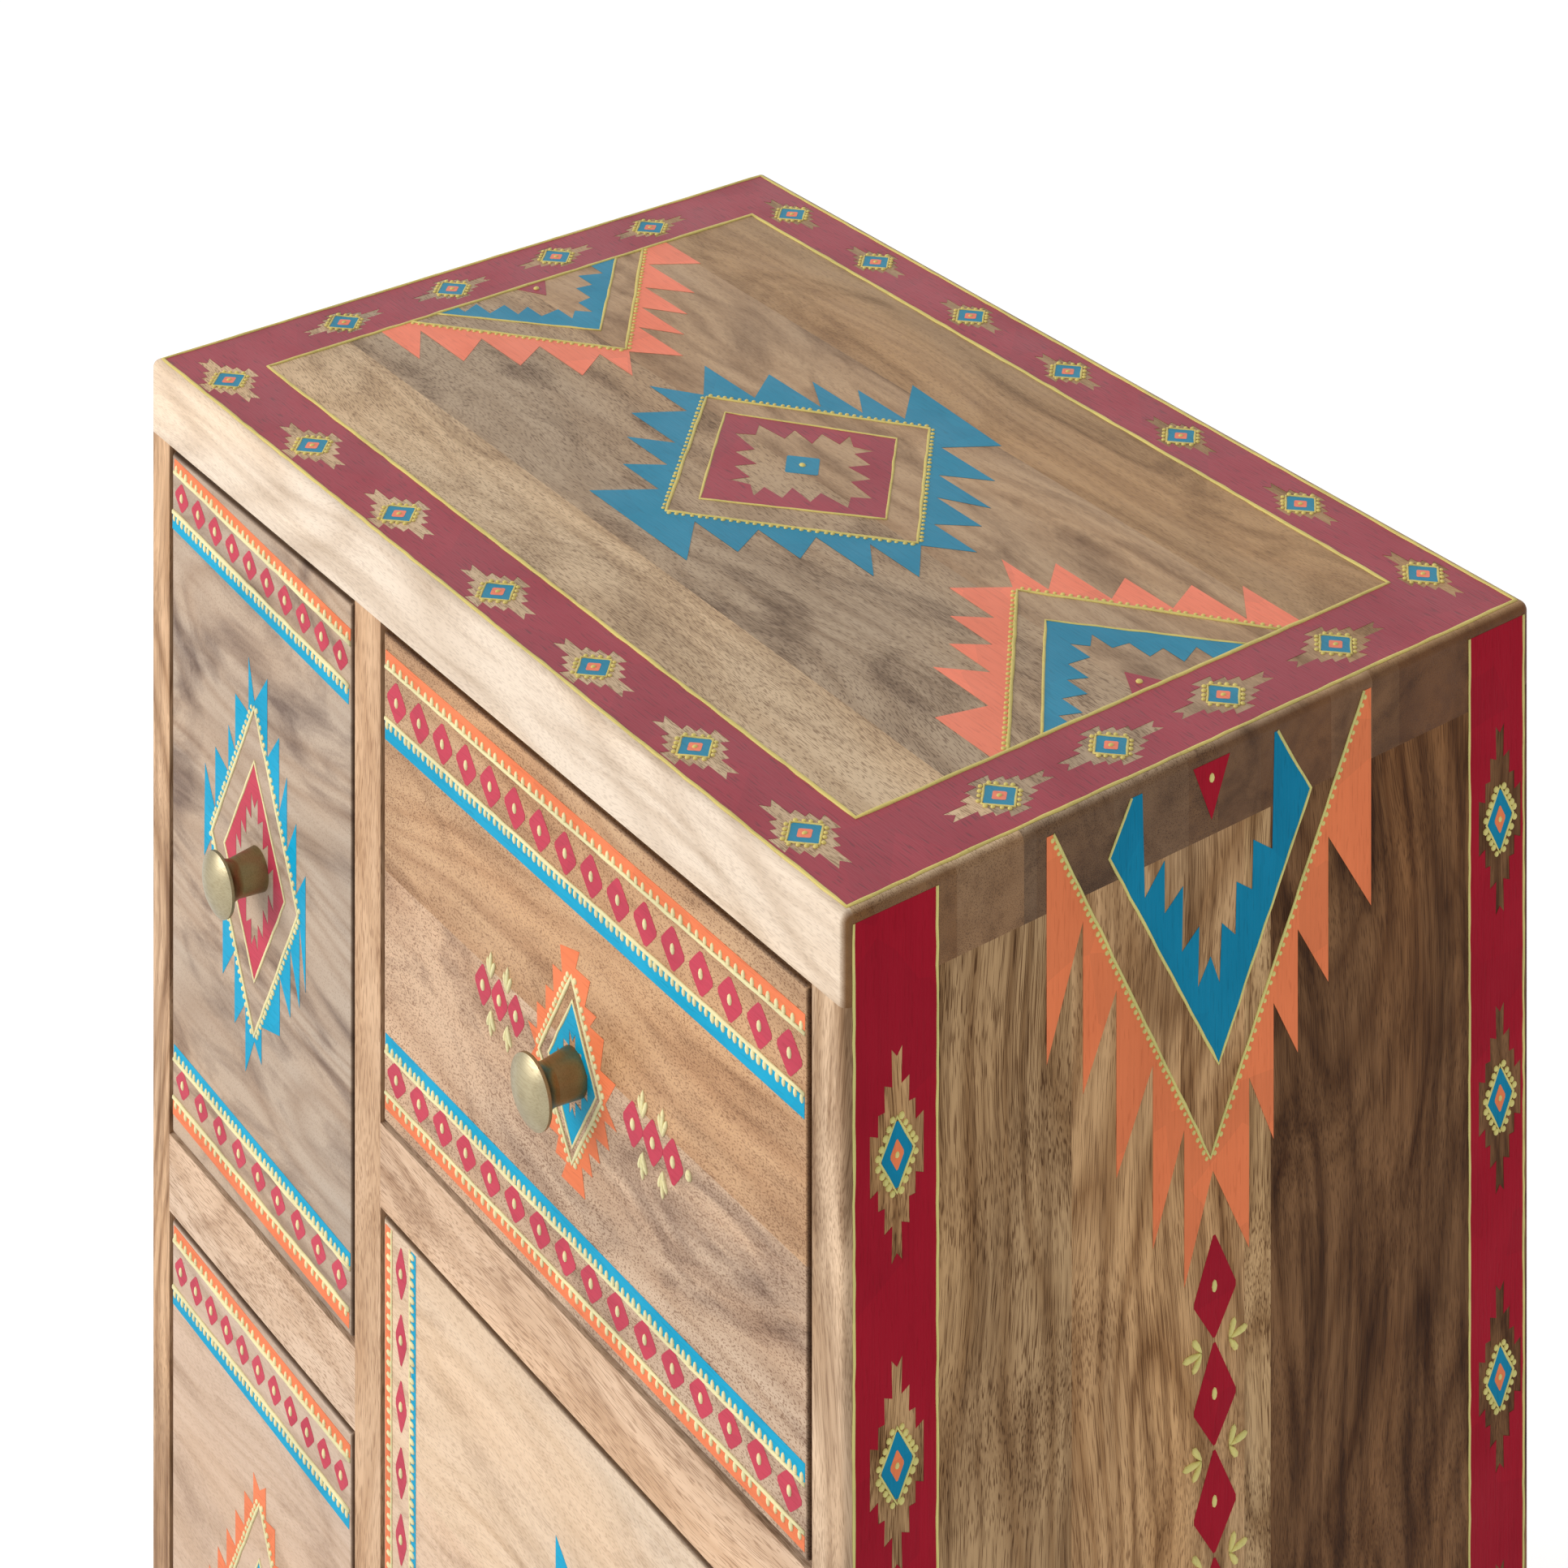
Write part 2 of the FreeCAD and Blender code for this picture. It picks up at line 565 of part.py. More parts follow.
def knob_profile(sketch):
    """Half section of a turned knob with a blind hole for its bolt; it points along the sketch's +Y.

    In a sketch, -1 is its X axis, -2 is its Y axis, and point 3 of an arc is its centre.
    """
    hole = S.knob_bolt_radius + S.fit_play
    base = S.knob_base_diameter / 2
    neck = S.knob_neck_diameter / 2
    rim = S.knob_rim_diameter / 2
    face = S.knob_reach - S.knob_dome
    rim_back = face - S.knob_rim_thickness
    corners = [(hole, ZERO), (base, ZERO), (neck, S.knob_neck_level), (rim, rim_back), (rim, face),
               (ZERO, S.knob_reach), (ZERO, S.knob_bolt_grip), (hole, S.knob_bolt_grip)]
    cove_rise = rim_back - S.knob_neck_level
    cove_radius = ((rim - neck) * (rim - neck) + cove_rise * cove_rise) / ((rim - neck) * 2)
    dome_radius = (rim * rim + S.knob_dome * S.knob_dome) / (S.knob_dome * 2)
    cove = 2
    dome = 4
    centres = {cove: (neck + cove_radius, S.knob_neck_level), dome: (ZERO, S.knob_reach - dome_radius)}

    def vector(point):
        return FreeCAD.Vector(*(sheet.evalExpression(str(formula)) for formula in point), 0)

    first = []
    for i, corner in enumerate(corners):
        start = vector(corner)
        end = vector(corners[(i + 1) % len(corners)])
        if i in centres:
            centre = vector(centres[i])
            spokes = [point - centre for point in (start, end)]
            angles = [math.atan2(spoke.y, spoke.x) % math.tau for spoke in spokes]
            circle = Part.Circle(centre, FreeCAD.Vector(0, 0, 1), (start - centre).Length)
            curve = Part.ArcOfCircle(circle, min(angles), max(angles))
        else:
            curve = Part.LineSegment(start, end)
        sketch.addGeometry(curve, False)
        begins = sketch.Geometry[i].StartPoint.distanceToPoint(start) < 1e-6
        first.append(1 if begins else 2)

    def bound_distance(kind, number, end, formula):
        value = sheet.evalExpression(str(formula))
        index = sketch.addConstraint(Sketcher.Constraint(kind, -1, 1, number, end, value))
        sketch.setExpression(f"Constraints[{index}]", str(formula))

    for i, corner in enumerate(corners):
        before = (i - 1) % len(corners)
        sketch.addConstraint(Sketcher.Constraint("Coincident", before, 3 - first[before], i, first[i]))
        for kind, formula, axis in (("DistanceX", corner[0], -2), ("DistanceY", corner[1], -1)):
            if formula is ZERO:
                sketch.addConstraint(Sketcher.Constraint("PointOnObject", i, first[i], axis))
            else:
                bound_distance(kind, i, first[i], formula)
    bound_distance("DistanceY", cove, 3, S.knob_neck_level)
    sketch.addConstraint(Sketcher.Constraint("PointOnObject", dome, 3, -2))


def knob(label, x, z):
    """A turned knob standing on the front plane, with the bolt that holds it from inside."""
    body = doc.addObject("PartDesign::Body", label)
    sketch = body.newObject("Sketcher::SketchObject", f"{label}_half_section")
    plane = next(feature for feature in body.Origin.OriginFeatures if feature.Role == "XY_Plane")
    sketch.AttachmentSupport = (plane, [""])
    sketch.MapMode = "FlatFace"
    knob_profile(sketch)
    turning = body.newObject("PartDesign::Revolution", f"{label}_turning")
    turning.Profile = sketch
    turning.ReferenceAxis = (sketch, ["V_Axis"])
    turning.Angle = 360
    body.Tip = turning
    body.Placement = FreeCAD.Placement(FreeCAD.Vector(), HALF_TURN)
    place(body, (x, FRONT, z))
    keep(label, body)
    length = S.front_thickness + S.knob_bolt_grip - S.slip_play
    shank = rod(f"{label}_bolt_shank", (x, FRONT_INSIDE, z), "-Y", length, S.knob_bolt_radius)
    head = rod(f"{label}_bolt_head", (x, FRONT_INSIDE, z), "+Y",
               S.knob_bolt_head_thickness, S.knob_bolt_head_radius)
    keep(f"{label}_bolt", united(f"{label}_bolt", [shank, head]))
    return rod(f"{label}_bolt_hole", (x, FRONT_INSIDE, z), "-Y",
               S.front_thickness, S.knob_bolt_radius + S.fit_play)


def front_board(name, x, z):
    """A drawer or door front, rounded round its face and at its corners."""
    return rounded_board(name, x, (FRONT, FRONT_INSIDE), z, S.front_rounding,
                         lambda runs, offset: runs == "Y" or offset.y < 0)


# Door
door_blank = front_board("door_blank", (DOOR_LEFT, DOOR_RIGHT), (DOOR_BOTTOM, DOOR_TOP))
door_knob_hole = knob("door_knob", DOOR_LEFT + S.door_knob_offset, (DOOR_BOTTOM + DOOR_TOP) / 2)

BATTEN_X = (DOOR_LEFT + S.batten_inset, DOOR_RIGHT - S.batten_inset)
BATTEN_BACK = FRONT_INSIDE + S.batten_thickness
battens = []
batten_screws = []
batten_holes = []
for name, low in (
        ("upper", DOOR_TOP - S.batten_margin - S.batten_height),
        ("lower", DOOR_BOTTOM + S.batten_margin)):
    blank = block(f"{name}_batten_blank", BATTEN_X, (FRONT_INSIDE, BATTEN_BACK), (low, low + S.batten_height))
    heads = [(BATTEN_X[0] + (BATTEN_X[1] - BATTEN_X[0]) * share, BATTEN_BACK, low + S.batten_height / 2)
             for share in (0.1, 0.5, 0.9)]
    screws, holes = screw_set(f"{name}_batten_screws", heads, "-Y", S.batten_screw_length)
    batten_screws += screws
    batten_holes += holes
    battens.append(cut(f"{name}_batten", blank, holes))
keep("door_battens", group("door_battens", battens))
keep("batten_screws", group("batten_screws", batten_screws))

strike_blank = block("strike_blank",
                     (CATCH_MIDDLE_X - S.strike_length / 2, CATCH_MIDDLE_X + S.strike_length / 2),
                     (FRONT_INSIDE, STRIKE_BACK),
                     (DOOR_TOP - S.strike_height, DOOR_TOP))
strike_head = (CATCH_MIDDLE_X, STRIKE_BACK, DOOR_TOP - S.strike_height / 2)
strike_screws, strike_holes = screw_set("strike_screw", [strike_head], "-Y", S.strike_screw_length, "hinge")
keep("strike_screw", strike_screws[0])
keep("strike_plate", cut("strike_plate", strike_blank, strike_holes))
keep("door_panel", cut("door_panel", door_blank,
                       [door_knob_hole] + batten_holes + hinge_door_holes + strike_holes))


def drawer(name, low, high, floor, ceiling, knob_x, knob_z):
    """A drawer that fills an opening: front, two sides, back, bottom, knob and bolt."""
    front_x = (low + S.front_gap, high - S.front_gap)
    front_z = (floor + S.front_gap, ceiling - S.front_gap)
    box_x = (low + S.drawer_side_play, high - S.drawer_side_play)
    inner_x = (box_x[0] + S.drawer_side_thickness, box_x[1] - S.drawer_side_thickness)
    box_z = (floor + S.drawer_rest_play, ceiling - S.drawer_head_room)
    side_y = (FRONT_INSIDE - S.drawer_side_lap, DRAWER_BACK)
    back_y = (side_y[1] - S.drawer_back_thickness, side_y[1])
    bottom_z = (box_z[0] + S.drawer_bottom_rise, box_z[0] + S.drawer_bottom_rise + S.drawer_bottom_thickness)

    def bottom_block(part, play):
        """The bottom, or with play the groove that holds it."""
        return block(part,
                     (inner_x[0] - S.drawer_groove_depth - play, inner_x[1] + S.drawer_groove_depth + play),
                     (FRONT_INSIDE - S.drawer_groove_depth - play, side_y[1]),
                     (bottom_z[0] - play, bottom_z[1] + play))

    keep(f"{name}_drawer_bottom", bottom_block(f"{name}_drawer_bottom", ZERO))
    groove = bottom_block(f"{name}_drawer_groove", S.fit_play)
    for side, span in (("left", (box_x[0], inner_x[0])), ("right", (inner_x[1], box_x[1]))):
        label = f"{name}_drawer_{side}_side"
        keep(label, cut(label, block(f"{label}_blank", span, side_y, box_z), [groove]))
    back_z = (bottom_z[1] + S.fit_play, box_z[1])
    keep(f"{name}_drawer_back", block(f"{name}_drawer_back", inner_x, back_y, back_z))
    blank = front_board(f"{name}_drawer_front_blank", front_x, front_z)
    lap_z = (front_z[0], box_z[1] + S.fit_play)
    laps = [block(f"{name}_drawer_{side}_lap", span, (side_y[0], FRONT_INSIDE), lap_z)
            for side, span in (("left", (front_x[0], inner_x[0])), ("right", (inner_x[1], front_x[1])))]
    hole = knob(f"{name}_drawer_knob", knob_x, knob_z)
    keep(f"{name}_drawer_front", cut(f"{name}_drawer_front", blank, laps + [groove, hole]))


# Drawers
LEFT_KNOB_X = (LEFT_INNER + PARTITION_LEFT) / 2
drawer("left_upper", LEFT_INNER, PARTITION_LEFT, LEFT_RAIL_TOP, CEILING,
       LEFT_KNOB_X, (LEFT_RAIL_TOP + CEILING) / 2 + S.left_knob_lift)
drawer("left_lower", LEFT_INNER, PARTITION_LEFT, DECK, LEFT_RAIL_BOTTOM,
       LEFT_KNOB_X, (DECK + LEFT_RAIL_BOTTOM) / 2 + S.left_knob_lift)
drawer("right", PARTITION_RIGHT, RIGHT_INNER, RIGHT_RAIL_TOP, CEILING,
       (PARTITION_RIGHT + RIGHT_INNER) / 2 - S.right_knob_shift,
       (RIGHT_RAIL_TOP + CEILING) / 2 - S.right_knob_drop)

# Check every object, then write one file for each sub-part
doc.recompute()
failed = [item.Name for item in doc.Objects if "Invalid" in item.State or "Error" in item.State]
broken = [label for label, piece in nodes.items() if piece.Shape.isNull() or not piece.Shape.isValid()]
if failed or broken:
    raise RuntimeError(f"failed objects {failed}, broken sub-parts {broken}")
os.makedirs("parts", exist_ok=True)
for label, piece in nodes.items():
    piece.Shape.exportStep(f"parts/{label}.step")
print(f"wrote {len(nodes)} sub-parts")
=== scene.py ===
"""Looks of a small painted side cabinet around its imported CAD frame: metres, front towards -Y, +Z up."""
import math
import random
from collections import defaultdict, namedtuple

import bpy
from mathutils import Matrix, Vector


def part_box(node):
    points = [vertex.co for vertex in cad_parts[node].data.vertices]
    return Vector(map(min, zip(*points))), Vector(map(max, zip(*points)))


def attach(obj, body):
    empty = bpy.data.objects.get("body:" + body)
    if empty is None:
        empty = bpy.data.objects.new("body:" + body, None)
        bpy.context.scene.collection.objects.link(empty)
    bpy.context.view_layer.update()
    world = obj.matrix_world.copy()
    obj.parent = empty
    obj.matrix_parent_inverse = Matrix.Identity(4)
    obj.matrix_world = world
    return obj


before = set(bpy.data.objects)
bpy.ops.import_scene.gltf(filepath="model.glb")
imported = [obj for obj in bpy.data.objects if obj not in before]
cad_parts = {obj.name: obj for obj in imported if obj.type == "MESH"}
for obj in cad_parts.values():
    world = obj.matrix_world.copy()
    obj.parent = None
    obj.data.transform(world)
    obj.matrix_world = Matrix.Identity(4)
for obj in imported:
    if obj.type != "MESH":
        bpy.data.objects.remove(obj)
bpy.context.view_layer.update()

bpy.ops.object.select_all(action="DESELECT")

# Case boards
# The top, bottom, sides, partition and rails are planed mango wood, glued up from boards and dowelled,
# and the feet are screwed on. A thin satin lacquer shows the grain, smoky stains and open pores. The
# sawn front edges are the palest wood.
MM = 0.001
CASE_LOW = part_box("bottom_board")[0]
CASE_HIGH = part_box("top_board")[1]
LEFT, FRONT = CASE_LOW.x, CASE_LOW.y
RIGHT, BACK, TOP = CASE_HIGH.x, CASE_HIGH.y, CASE_HIGH.z
CREAM = (0.80, 0.66, 0.52)
UMBER = (0.16, 0.11, 0.05)
BEIGE = (0.69, 0.505, 0.32)
TAUPE = (0.46, 0.335, 0.22)
ROSY = (0.485, 0.335, 0.21)
AMBER = (0.44, 0.28, 0.147)
BISCUIT = (0.70, 0.51, 0.365)
HONEY = (0.66, 0.435, 0.268)
FLAX = (0.74, 0.54, 0.37)
WALNUT = (0.59, 0.38, 0.195)
TAN = (0.65, 0.42, 0.225)
SAPWOOD = (0.60, 0.41, 0.225)
CHOCOLATE = (0.255, 0.126, 0.053)
LOG_SPREAD = (41, 67, 53)
WANDER = 0.030
RING_FOLDS = 30.0
PORE_CROWDING = 0.3
PORE_DEPTH = 0.0004
LACQUER = (0.36, 0.52)
STAVE = 0.032
LEAST_BROWN = 0.7
END_BROWN = (0.29, 0.155, 0.045)
# Painted shade in the gaps round the fronts: its tint, where it fades in from an edge, and how much darker
# it gets behind the face.
GAP_SHADE = (0.22, 0.17, 0.13)
GAP_SHADE_FADE = (-1.3 * MM, -0.6 * MM)
GAP_SHADE_DEPTH = -0.5
Figure = namedtuple("Figure", "stain stain_from glow ring streak pore pore_size sheen")
Board = namedtuple("Board", "start colour stain pores")


def add_node(tree, kind, inputs=None, **settings):
    """Add a shader node, set its settings, and give its inputs a number or a link from another node."""
    made = tree.nodes.new("ShaderNode" + kind)
    for name, value in settings.items():
        setattr(made, name, value)
    for name, value in (inputs or {}).items():
        if isinstance(value, bpy.types.NodeSocket):
            tree.links.new(value, made.inputs[name])
        else:
            made.inputs[name].default_value = value
    return made


def maths(tree, operation, *values):
    """Work out a number in the shader."""
    return add_node(tree, "Math", dict(enumerate(values)), operation=operation).outputs["Value"]


def vector_maths(tree, operation, *values):
    """Work out a place in the shader."""
    return add_node(tree, "VectorMath", dict(enumerate(values)), operation=operation).outputs["Vector"]


def stretched(tree, vector, grain, along, cross):
    """A pattern's place, scaled by one number along the grain and by another across it."""
    stretch = [cross] * 3
    stretch["XYZ".index(grain)] = along
    return vector_maths(tree, "MULTIPLY", vector, stretch)


def noise(tree, vector, scale, detail, distortion=0.0, roughness=0.5):
    """A soft random pattern."""
    settings = {"Vector": vector, "Scale": scale, "Detail": detail, "Distortion": distortion,
                "Roughness": roughness}
    return add_node(tree, "TexNoise", settings).outputs["Fac"]


def map_range(tree, value, low=0.0, high=1.0, least=0.0, most=1.0):
    """Turn a number between low and high into one between least and most."""
    limits = {"Value": value, "From Min": low, "From Max": high, "To Min": least, "To Max": most}
    return add_node(tree, "MapRange", limits).outputs["Result"]


def tint_where(tree, colour, mask, low, high, tint, most=1.0):
    """Multiply a colour by a tint where a mask rises from low to high, up to the most that is given."""
    share = map_range(tree, mask, low, high, most=most)
    layer = {"Fac": share, "Color1": colour, "Color2": (*tint, 1)}
    return add_node(tree, "MixRGB", layer, blend_type="MULTIPLY").outputs["Color"]


def new_material(name):
    """A new material, its node tree and its shader."""
    material = bpy.data.materials.new(name)
    material.use_nodes = True
    tree = material.node_tree
    return material, tree, tree.nodes["Principled BSDF"]


def vary_gloss(tree, shader, mask, smooth, dull):
    """Let a pattern turn the surface from smooth to dull: two values of roughness."""
    roughness = map_range(tree, mask, low=0.3, high=0.7, least=smooth, most=dull)
    tree.links.new(roughness, shader.inputs["Roughness"])


def add_relief(tree, shader, height, strength, distance, invert=False):
    """Raise the surface where a pattern is high, or sink it when inverted."""
    settings = {"Height": height, "Strength": strength, "Distance": distance}
    relief = add_node(tree, "Bump", settings, invert=invert)
    tree.links.new(relief.outputs["Normal"], shader.inputs["Normal"])


def edge_nearness(tree, sides, low, high):
    """How near a place is to a front's edges: 0 at an edge, less further in and behind the face."""
    middle, half = (low + high) / 2, (high - low) / 2
    past_edges = []
    for axis, centre, reach in (("X", middle.x, half.x), ("Z", middle.z, half.z)):
        offset = maths(tree, "ABSOLUTE", maths(tree, "SUBTRACT", sides[axis], centre))
        past_edges.append(maths(tree, "SUBTRACT", offset, reach))
    behind = maths(tree, "SUBTRACT", sides["Y"], low.y)
    return maths(tree, "MULTIPLY_ADD", behind, GAP_SHADE_DEPTH, maths(tree, "MAXIMUM", *past_edges))


def mango_wood(name, grain, across, boards, figure, ends=None, rim=None):
    """Lacquered mango wood with fibres along one axis, in boards with their own colour, stain and pores.

    The ends, where given, are sawn staves: (where they start to darken, where they are dark, tint).
    A rim is the box of a front, with painted shade along its edges that deepens back into the gaps round
    it.
    """
    material, tree, shader = new_material(name)
    place = add_node(tree, "TexCoord").outputs["Object"]
    sides = add_node(tree, "SeparateXYZ", {"Vector": place}).outputs
    share = maths(tree, "SUBTRACT", sides[across], boards[0].start)

    def by_board(values):
        ramp = add_node(tree, "ValToRGB", {"Fac": share})
        ramp.color_ramp.interpolation = "CONSTANT"
        stops = ramp.color_ramp.elements
        stops[0].color = values[0]
        for board, value in zip(boards[1:], values[1:]):
            stops.new(board.start - boards[0].start).color = value
        return ramp.outputs

    tone, stained = by_board([(*board.colour, board.stain) for board in boards])
    open_grain = by_board([(board.pores, board.pores, board.pores, 1) for board in boards])["Color"]
    log = vector_maths(tree, "MULTIPLY_ADD", tone, LOG_SPREAD, place)
    bends = {"Vector": stretched(tree, log, grain, along=6, cross=10), "Scale": 1, "Detail": 1}
    drift = add_node(tree, "TexNoise", bends).outputs["Color"]
    grown = vector_maths(tree, "MULTIPLY_ADD", drift, [WANDER] * 3, log)

    def fibres(along, cross, detail, distortion=0.0, roughness=0.5):
        return noise(tree, stretched(tree, grown, grain, along, cross), 1, detail, distortion, roughness)

    clouds = fibres(along=9, cross=30, detail=9, distortion=1.9, roughness=0.60)
    warmth = fibres(along=3, cross=11, detail=3, distortion=0.5)
    streaks = fibres(along=5, cross=220, detail=5)
    arcs = fibres(along=2.2, cross=13, detail=1, distortion=0.5)
    rings = maths(tree, "PINGPONG", maths(tree, "MULTIPLY", arcs, RING_FOLDS), 1.0)
    pore_length, pore_width = figure.pore_size
    holes = fibres(1 / (pore_length * MM), 1 / (pore_width * MM), detail=0)
    pores = maths(tree, "MULTIPLY_ADD", clouds, PORE_CROWDING, holes)
    colour = tint_where(tree, tone, warmth, low=0.40, high=0.65, tint=figure.glow)
    colour = tint_where(tree, colour, clouds, figure.stain_from, 0.70, figure.stain, most=stained)
    colour = tint_where(tree, colour, rings, low=0.35, high=1.0, tint=figure.ring)
    colour = tint_where(tree, colour, streaks, low=0.45, high=0.70, tint=figure.streak)
    colour = tint_where(tree, colour, pores, low=0.70, high=0.80, tint=figure.pore, most=open_grain)
    if ends:
        reach = maths(tree, "ABSOLUTE", sides[grain])
        stave = maths(tree, "SNAP", sides[across], STAVE)
        chance = add_node(tree, "TexWhiteNoise", {"W": stave}, noise_dimensions="1D").outputs["Value"]
        colour = tint_where(tree, colour, reach, *ends, map_range(tree, chance, least=LEAST_BROWN))
    # Painted shade: the wood darkens towards a front's edges and back into the gaps between the parts.
    if rim:
        colour = tint_where(tree, colour, edge_nearness(tree, sides, *rim), *GAP_SHADE_FADE, GAP_SHADE)
    tree.links.new(colour, shader.inputs["Base Color"])
    vary_gloss(tree, shader, clouds, *LACQUER)
    shader.inputs["Specular IOR Level"].default_value = figure.sheen
    add_relief(tree, shader, pores, strength=0.2, distance=PORE_DEPTH, invert=True)
    return material


def dress(material, *names):
    """Give CAD nodes their material."""
    for name in names:
        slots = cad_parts[name].data.materials
        slots.clear()
        slots.append(material)


def boards_across(*boards):
    """Boards from the front backwards: (millimetres from the front, colour, stain, pores)."""
    return [Board(FRONT + edge * MM, *looks) for edge, *looks in boards]


TOP_FIGURE = Figure(
    stain=(0.42, 0.37, 0.35), stain_from=0.48, glow=(1.14, 1.05, 0.93), ring=(0.86, 0.83, 0.80),
    streak=(0.80, 0.76, 0.72), pore=(0.50, 0.44, 0.40), pore_size=(3.0, 0.30), sheen=0.20)
SIDE_FIGURE = Figure(
    stain=(0.28, 0.20, 0.14), stain_from=0.43, glow=(1.22, 1.12, 0.98), ring=(0.62, 0.55, 0.48),
    streak=(0.50, 0.43, 0.37), pore=(0.36, 0.29, 0.24), pore_size=(14.0, 0.28), sheen=0.06)
EDGE_FIGURE = Figure(
    stain=(0.60, 0.52, 0.46), stain_from=0.50, glow=(1.10, 1.02, 0.92), ring=(0.86, 0.82, 0.78),
    streak=(0.84, 0.79, 0.74), pore=(0.52, 0.44, 0.38), pore_size=(6.0, 0.36), sheen=0.10)
TOP_ENDS = (RIGHT - 2.6 * MM, RIGHT - 0.6 * MM, END_BROWN)

top_boards = boards_across(
    (0, CREAM, 0.0, 0.3), (1.4, UMBER, 0.2, 0.0), (3.2, BEIGE, 0.45, 0.9),
    (67, TAUPE, 0.9, 0.9), (150, ROSY, 0.8, 0.4), (222, AMBER, 0.6, 0.5))
dress(mango_wood("top_wood", "X", "Y", top_boards, TOP_FIGURE, TOP_ENDS), "top_board")
for panel, front_edge in (("right_side_panel", FLAX), ("left_side_panel", HONEY)):
    side_boards = boards_across(
        (0, front_edge, 0.3, 0.5), (2.4, WALNUT, 0.35, 1.0), (88, TAN, 0.35, 0.8),
        (163, SAPWOOD, 0.1, 1.0), (172.5, CHOCOLATE, 1.0, 0.7))
    dress(mango_wood(panel + "_wood", "Z", "Y", side_boards, SIDE_FIGURE), panel)
base_boards = boards_across(
    (0, HONEY, 0.3, 0.5), (2.4, TAN, 0.4, 1.0), (110, WALNUT, 0.6, 1.0), (205, TAN, 0.4, 1.0))
dress(mango_wood("base_wood", "X", "Y", base_boards, SIDE_FIGURE), "bottom_board")
upright_boards = boards_across((0, HONEY, 0.5, 0.7), (120, TAN, 0.4, 0.7))
dress(mango_wood("upright_wood", "Z", "Y", upright_boards, EDGE_FIGURE), "centre_partition")
rail_boards = boards_across((0, BISCUIT, 0.8, 0.7), (120, TAN, 0.4, 0.7))
dress(mango_wood("rail_wood", "X", "Y", rail_boards, EDGE_FIGURE), "left_rail", "right_rail")
foot_wood = mango_wood("foot_wood", "Z", "X", [Board(LEFT, TAN, 0.4, 1.0)], SIDE_FIGURE)
dress(foot_wood, "front_left_foot", "front_right_foot", "rear_left_foot", "rear_right_foot")

# Back, runners, stops and dowels
# The back is thin plywood, let into a rebate of the case and screwed. The drawers run on raw planed
# strips, with small stops behind. Beech dowels hold the boards together. None of this wood is
# lacquered, so it is paler and duller.
PLY = (0.62, 0.45, 0.27)
STRIP = (0.56, 0.39, 0.23)
BEECH = (0.68, 0.49, 0.30)
RAW_FIGURE = Figure(
    stain=(0.72, 0.66, 0.60), stain_from=0.52, glow=(1.08, 1.02, 0.95), ring=(0.90, 0.87, 0.84),
    streak=(0.84, 0.79, 0.74), pore=(0.60, 0.53, 0.47), pore_size=(5.0, 0.36), sheen=0.15)
plywood = mango_wood("plywood_face", "Z", "X", [Board(LEFT, PLY, 0.6, 0.7)], RAW_FIGURE)
dress(plywood, "back_panel")
strip_wood = mango_wood("strip_wood", "Y", "X", [Board(LEFT, STRIP, 0.6, 0.7)], RAW_FIGURE)
dress(strip_wood, "left_drawer_runners", "right_drawer_runners", "drawer_stops")
beech_wood = mango_wood("beech_wood", "X", "Y", [Board(FRONT, BEECH, 0.2, 0.6)], RAW_FIGURE)
dress(beech_wood, "case_dowels", "rail_dowels")

# Screws, bolts, glides and catch
# Zinc plated screws and bolts, round dark plastic glides under the feet, and a magnetic catch for the
# door: a brown moulded housing with a ferrite block, and a steel strike plate screwed to the door.
BRUSH_LINES = {"along": 90.0, "cross": 2600.0}
BRUSH_DULLING = 0.12
BRUSH_DEPTH = 0.0002
SKIN_DEPTH = 0.0002
MOTTLING = (0.78, 0.78, 0.78)


def metal(name, colour, dark, roughness, brushed, along, stem=None):
    """Bare metal with brush lines along one axis and tarnish in patches.

    A stem, where given, is the darker back part: (Y where it starts, Y where it is dark, tint).
    """
    material, tree, shader = new_material(name)
    shader.inputs["Metallic"].default_value = 1.0
    place = add_node(tree, "TexCoord").outputs["Object"]
    brush = noise(tree, stretched(tree, place, along, **BRUSH_LINES), scale=1, detail=2)
    patches = noise(tree, place, scale=140, detail=4)
    shown = (*colour, 1)
    if stem:
        depth = add_node(tree, "SeparateXYZ", {"Vector": place}).outputs["Y"]
        shown = tint_where(tree, shown, depth, *stem)
    tarnish = tint_where(tree, shown, patches, low=0.45, high=0.75, tint=dark)
    streaked = tint_where(tree, tarnish, brush, low=0.45, high=0.70, tint=brushed)
    tree.links.new(streaked, shader.inputs["Base Color"])
    vary_gloss(tree, shader, brush, roughness, roughness + BRUSH_DULLING)
    add_relief(tree, shader, brush, strength=0.12, distance=BRUSH_DEPTH)
    return material


def moulded(name, colour, roughness):
    """Moulded plastic with a fine grained skin and faint mottling."""
    material, tree, shader = new_material(name)
    place = add_node(tree, "TexCoord").outputs["Object"]
    skin = noise(tree, place, scale=2200, detail=2)
    patches = noise(tree, place, scale=160, detail=3)
    mottled = tint_where(tree, (*colour, 1), patches, low=0.4, high=0.7, tint=MOTTLING)
    tree.links.new(mottled, shader.inputs["Base Color"])
    shader.inputs["Roughness"].default_value = roughness
    add_relief(tree, shader, skin, strength=0.2, distance=SKIN_DEPTH)
    return material


zinc = metal("zinc_plate", (0.56, 0.56, 0.57), dark=(0.72, 0.70, 0.68), roughness=0.28,
             brushed=(0.82, 0.82, 0.82), along="Y")
dress(zinc, "back_screws", "runner_screws", "foot_screws", "batten_screws", "catch_screws",
      "strike_plate", "door_knob_bolt", "left_upper_drawer_knob_bolt", "left_lower_drawer_knob_bolt",
      "right_drawer_knob_bolt")
dress(moulded("dark_glide", (0.055, 0.042, 0.035), roughness=0.6), "foot_glides")
dress(moulded("brown_catch", (0.085, 0.042, 0.022), roughness=0.45), "catch_housing")
dress(moulded("ferrite", (0.03, 0.03, 0.032), roughness=0.55), "catch_magnet")

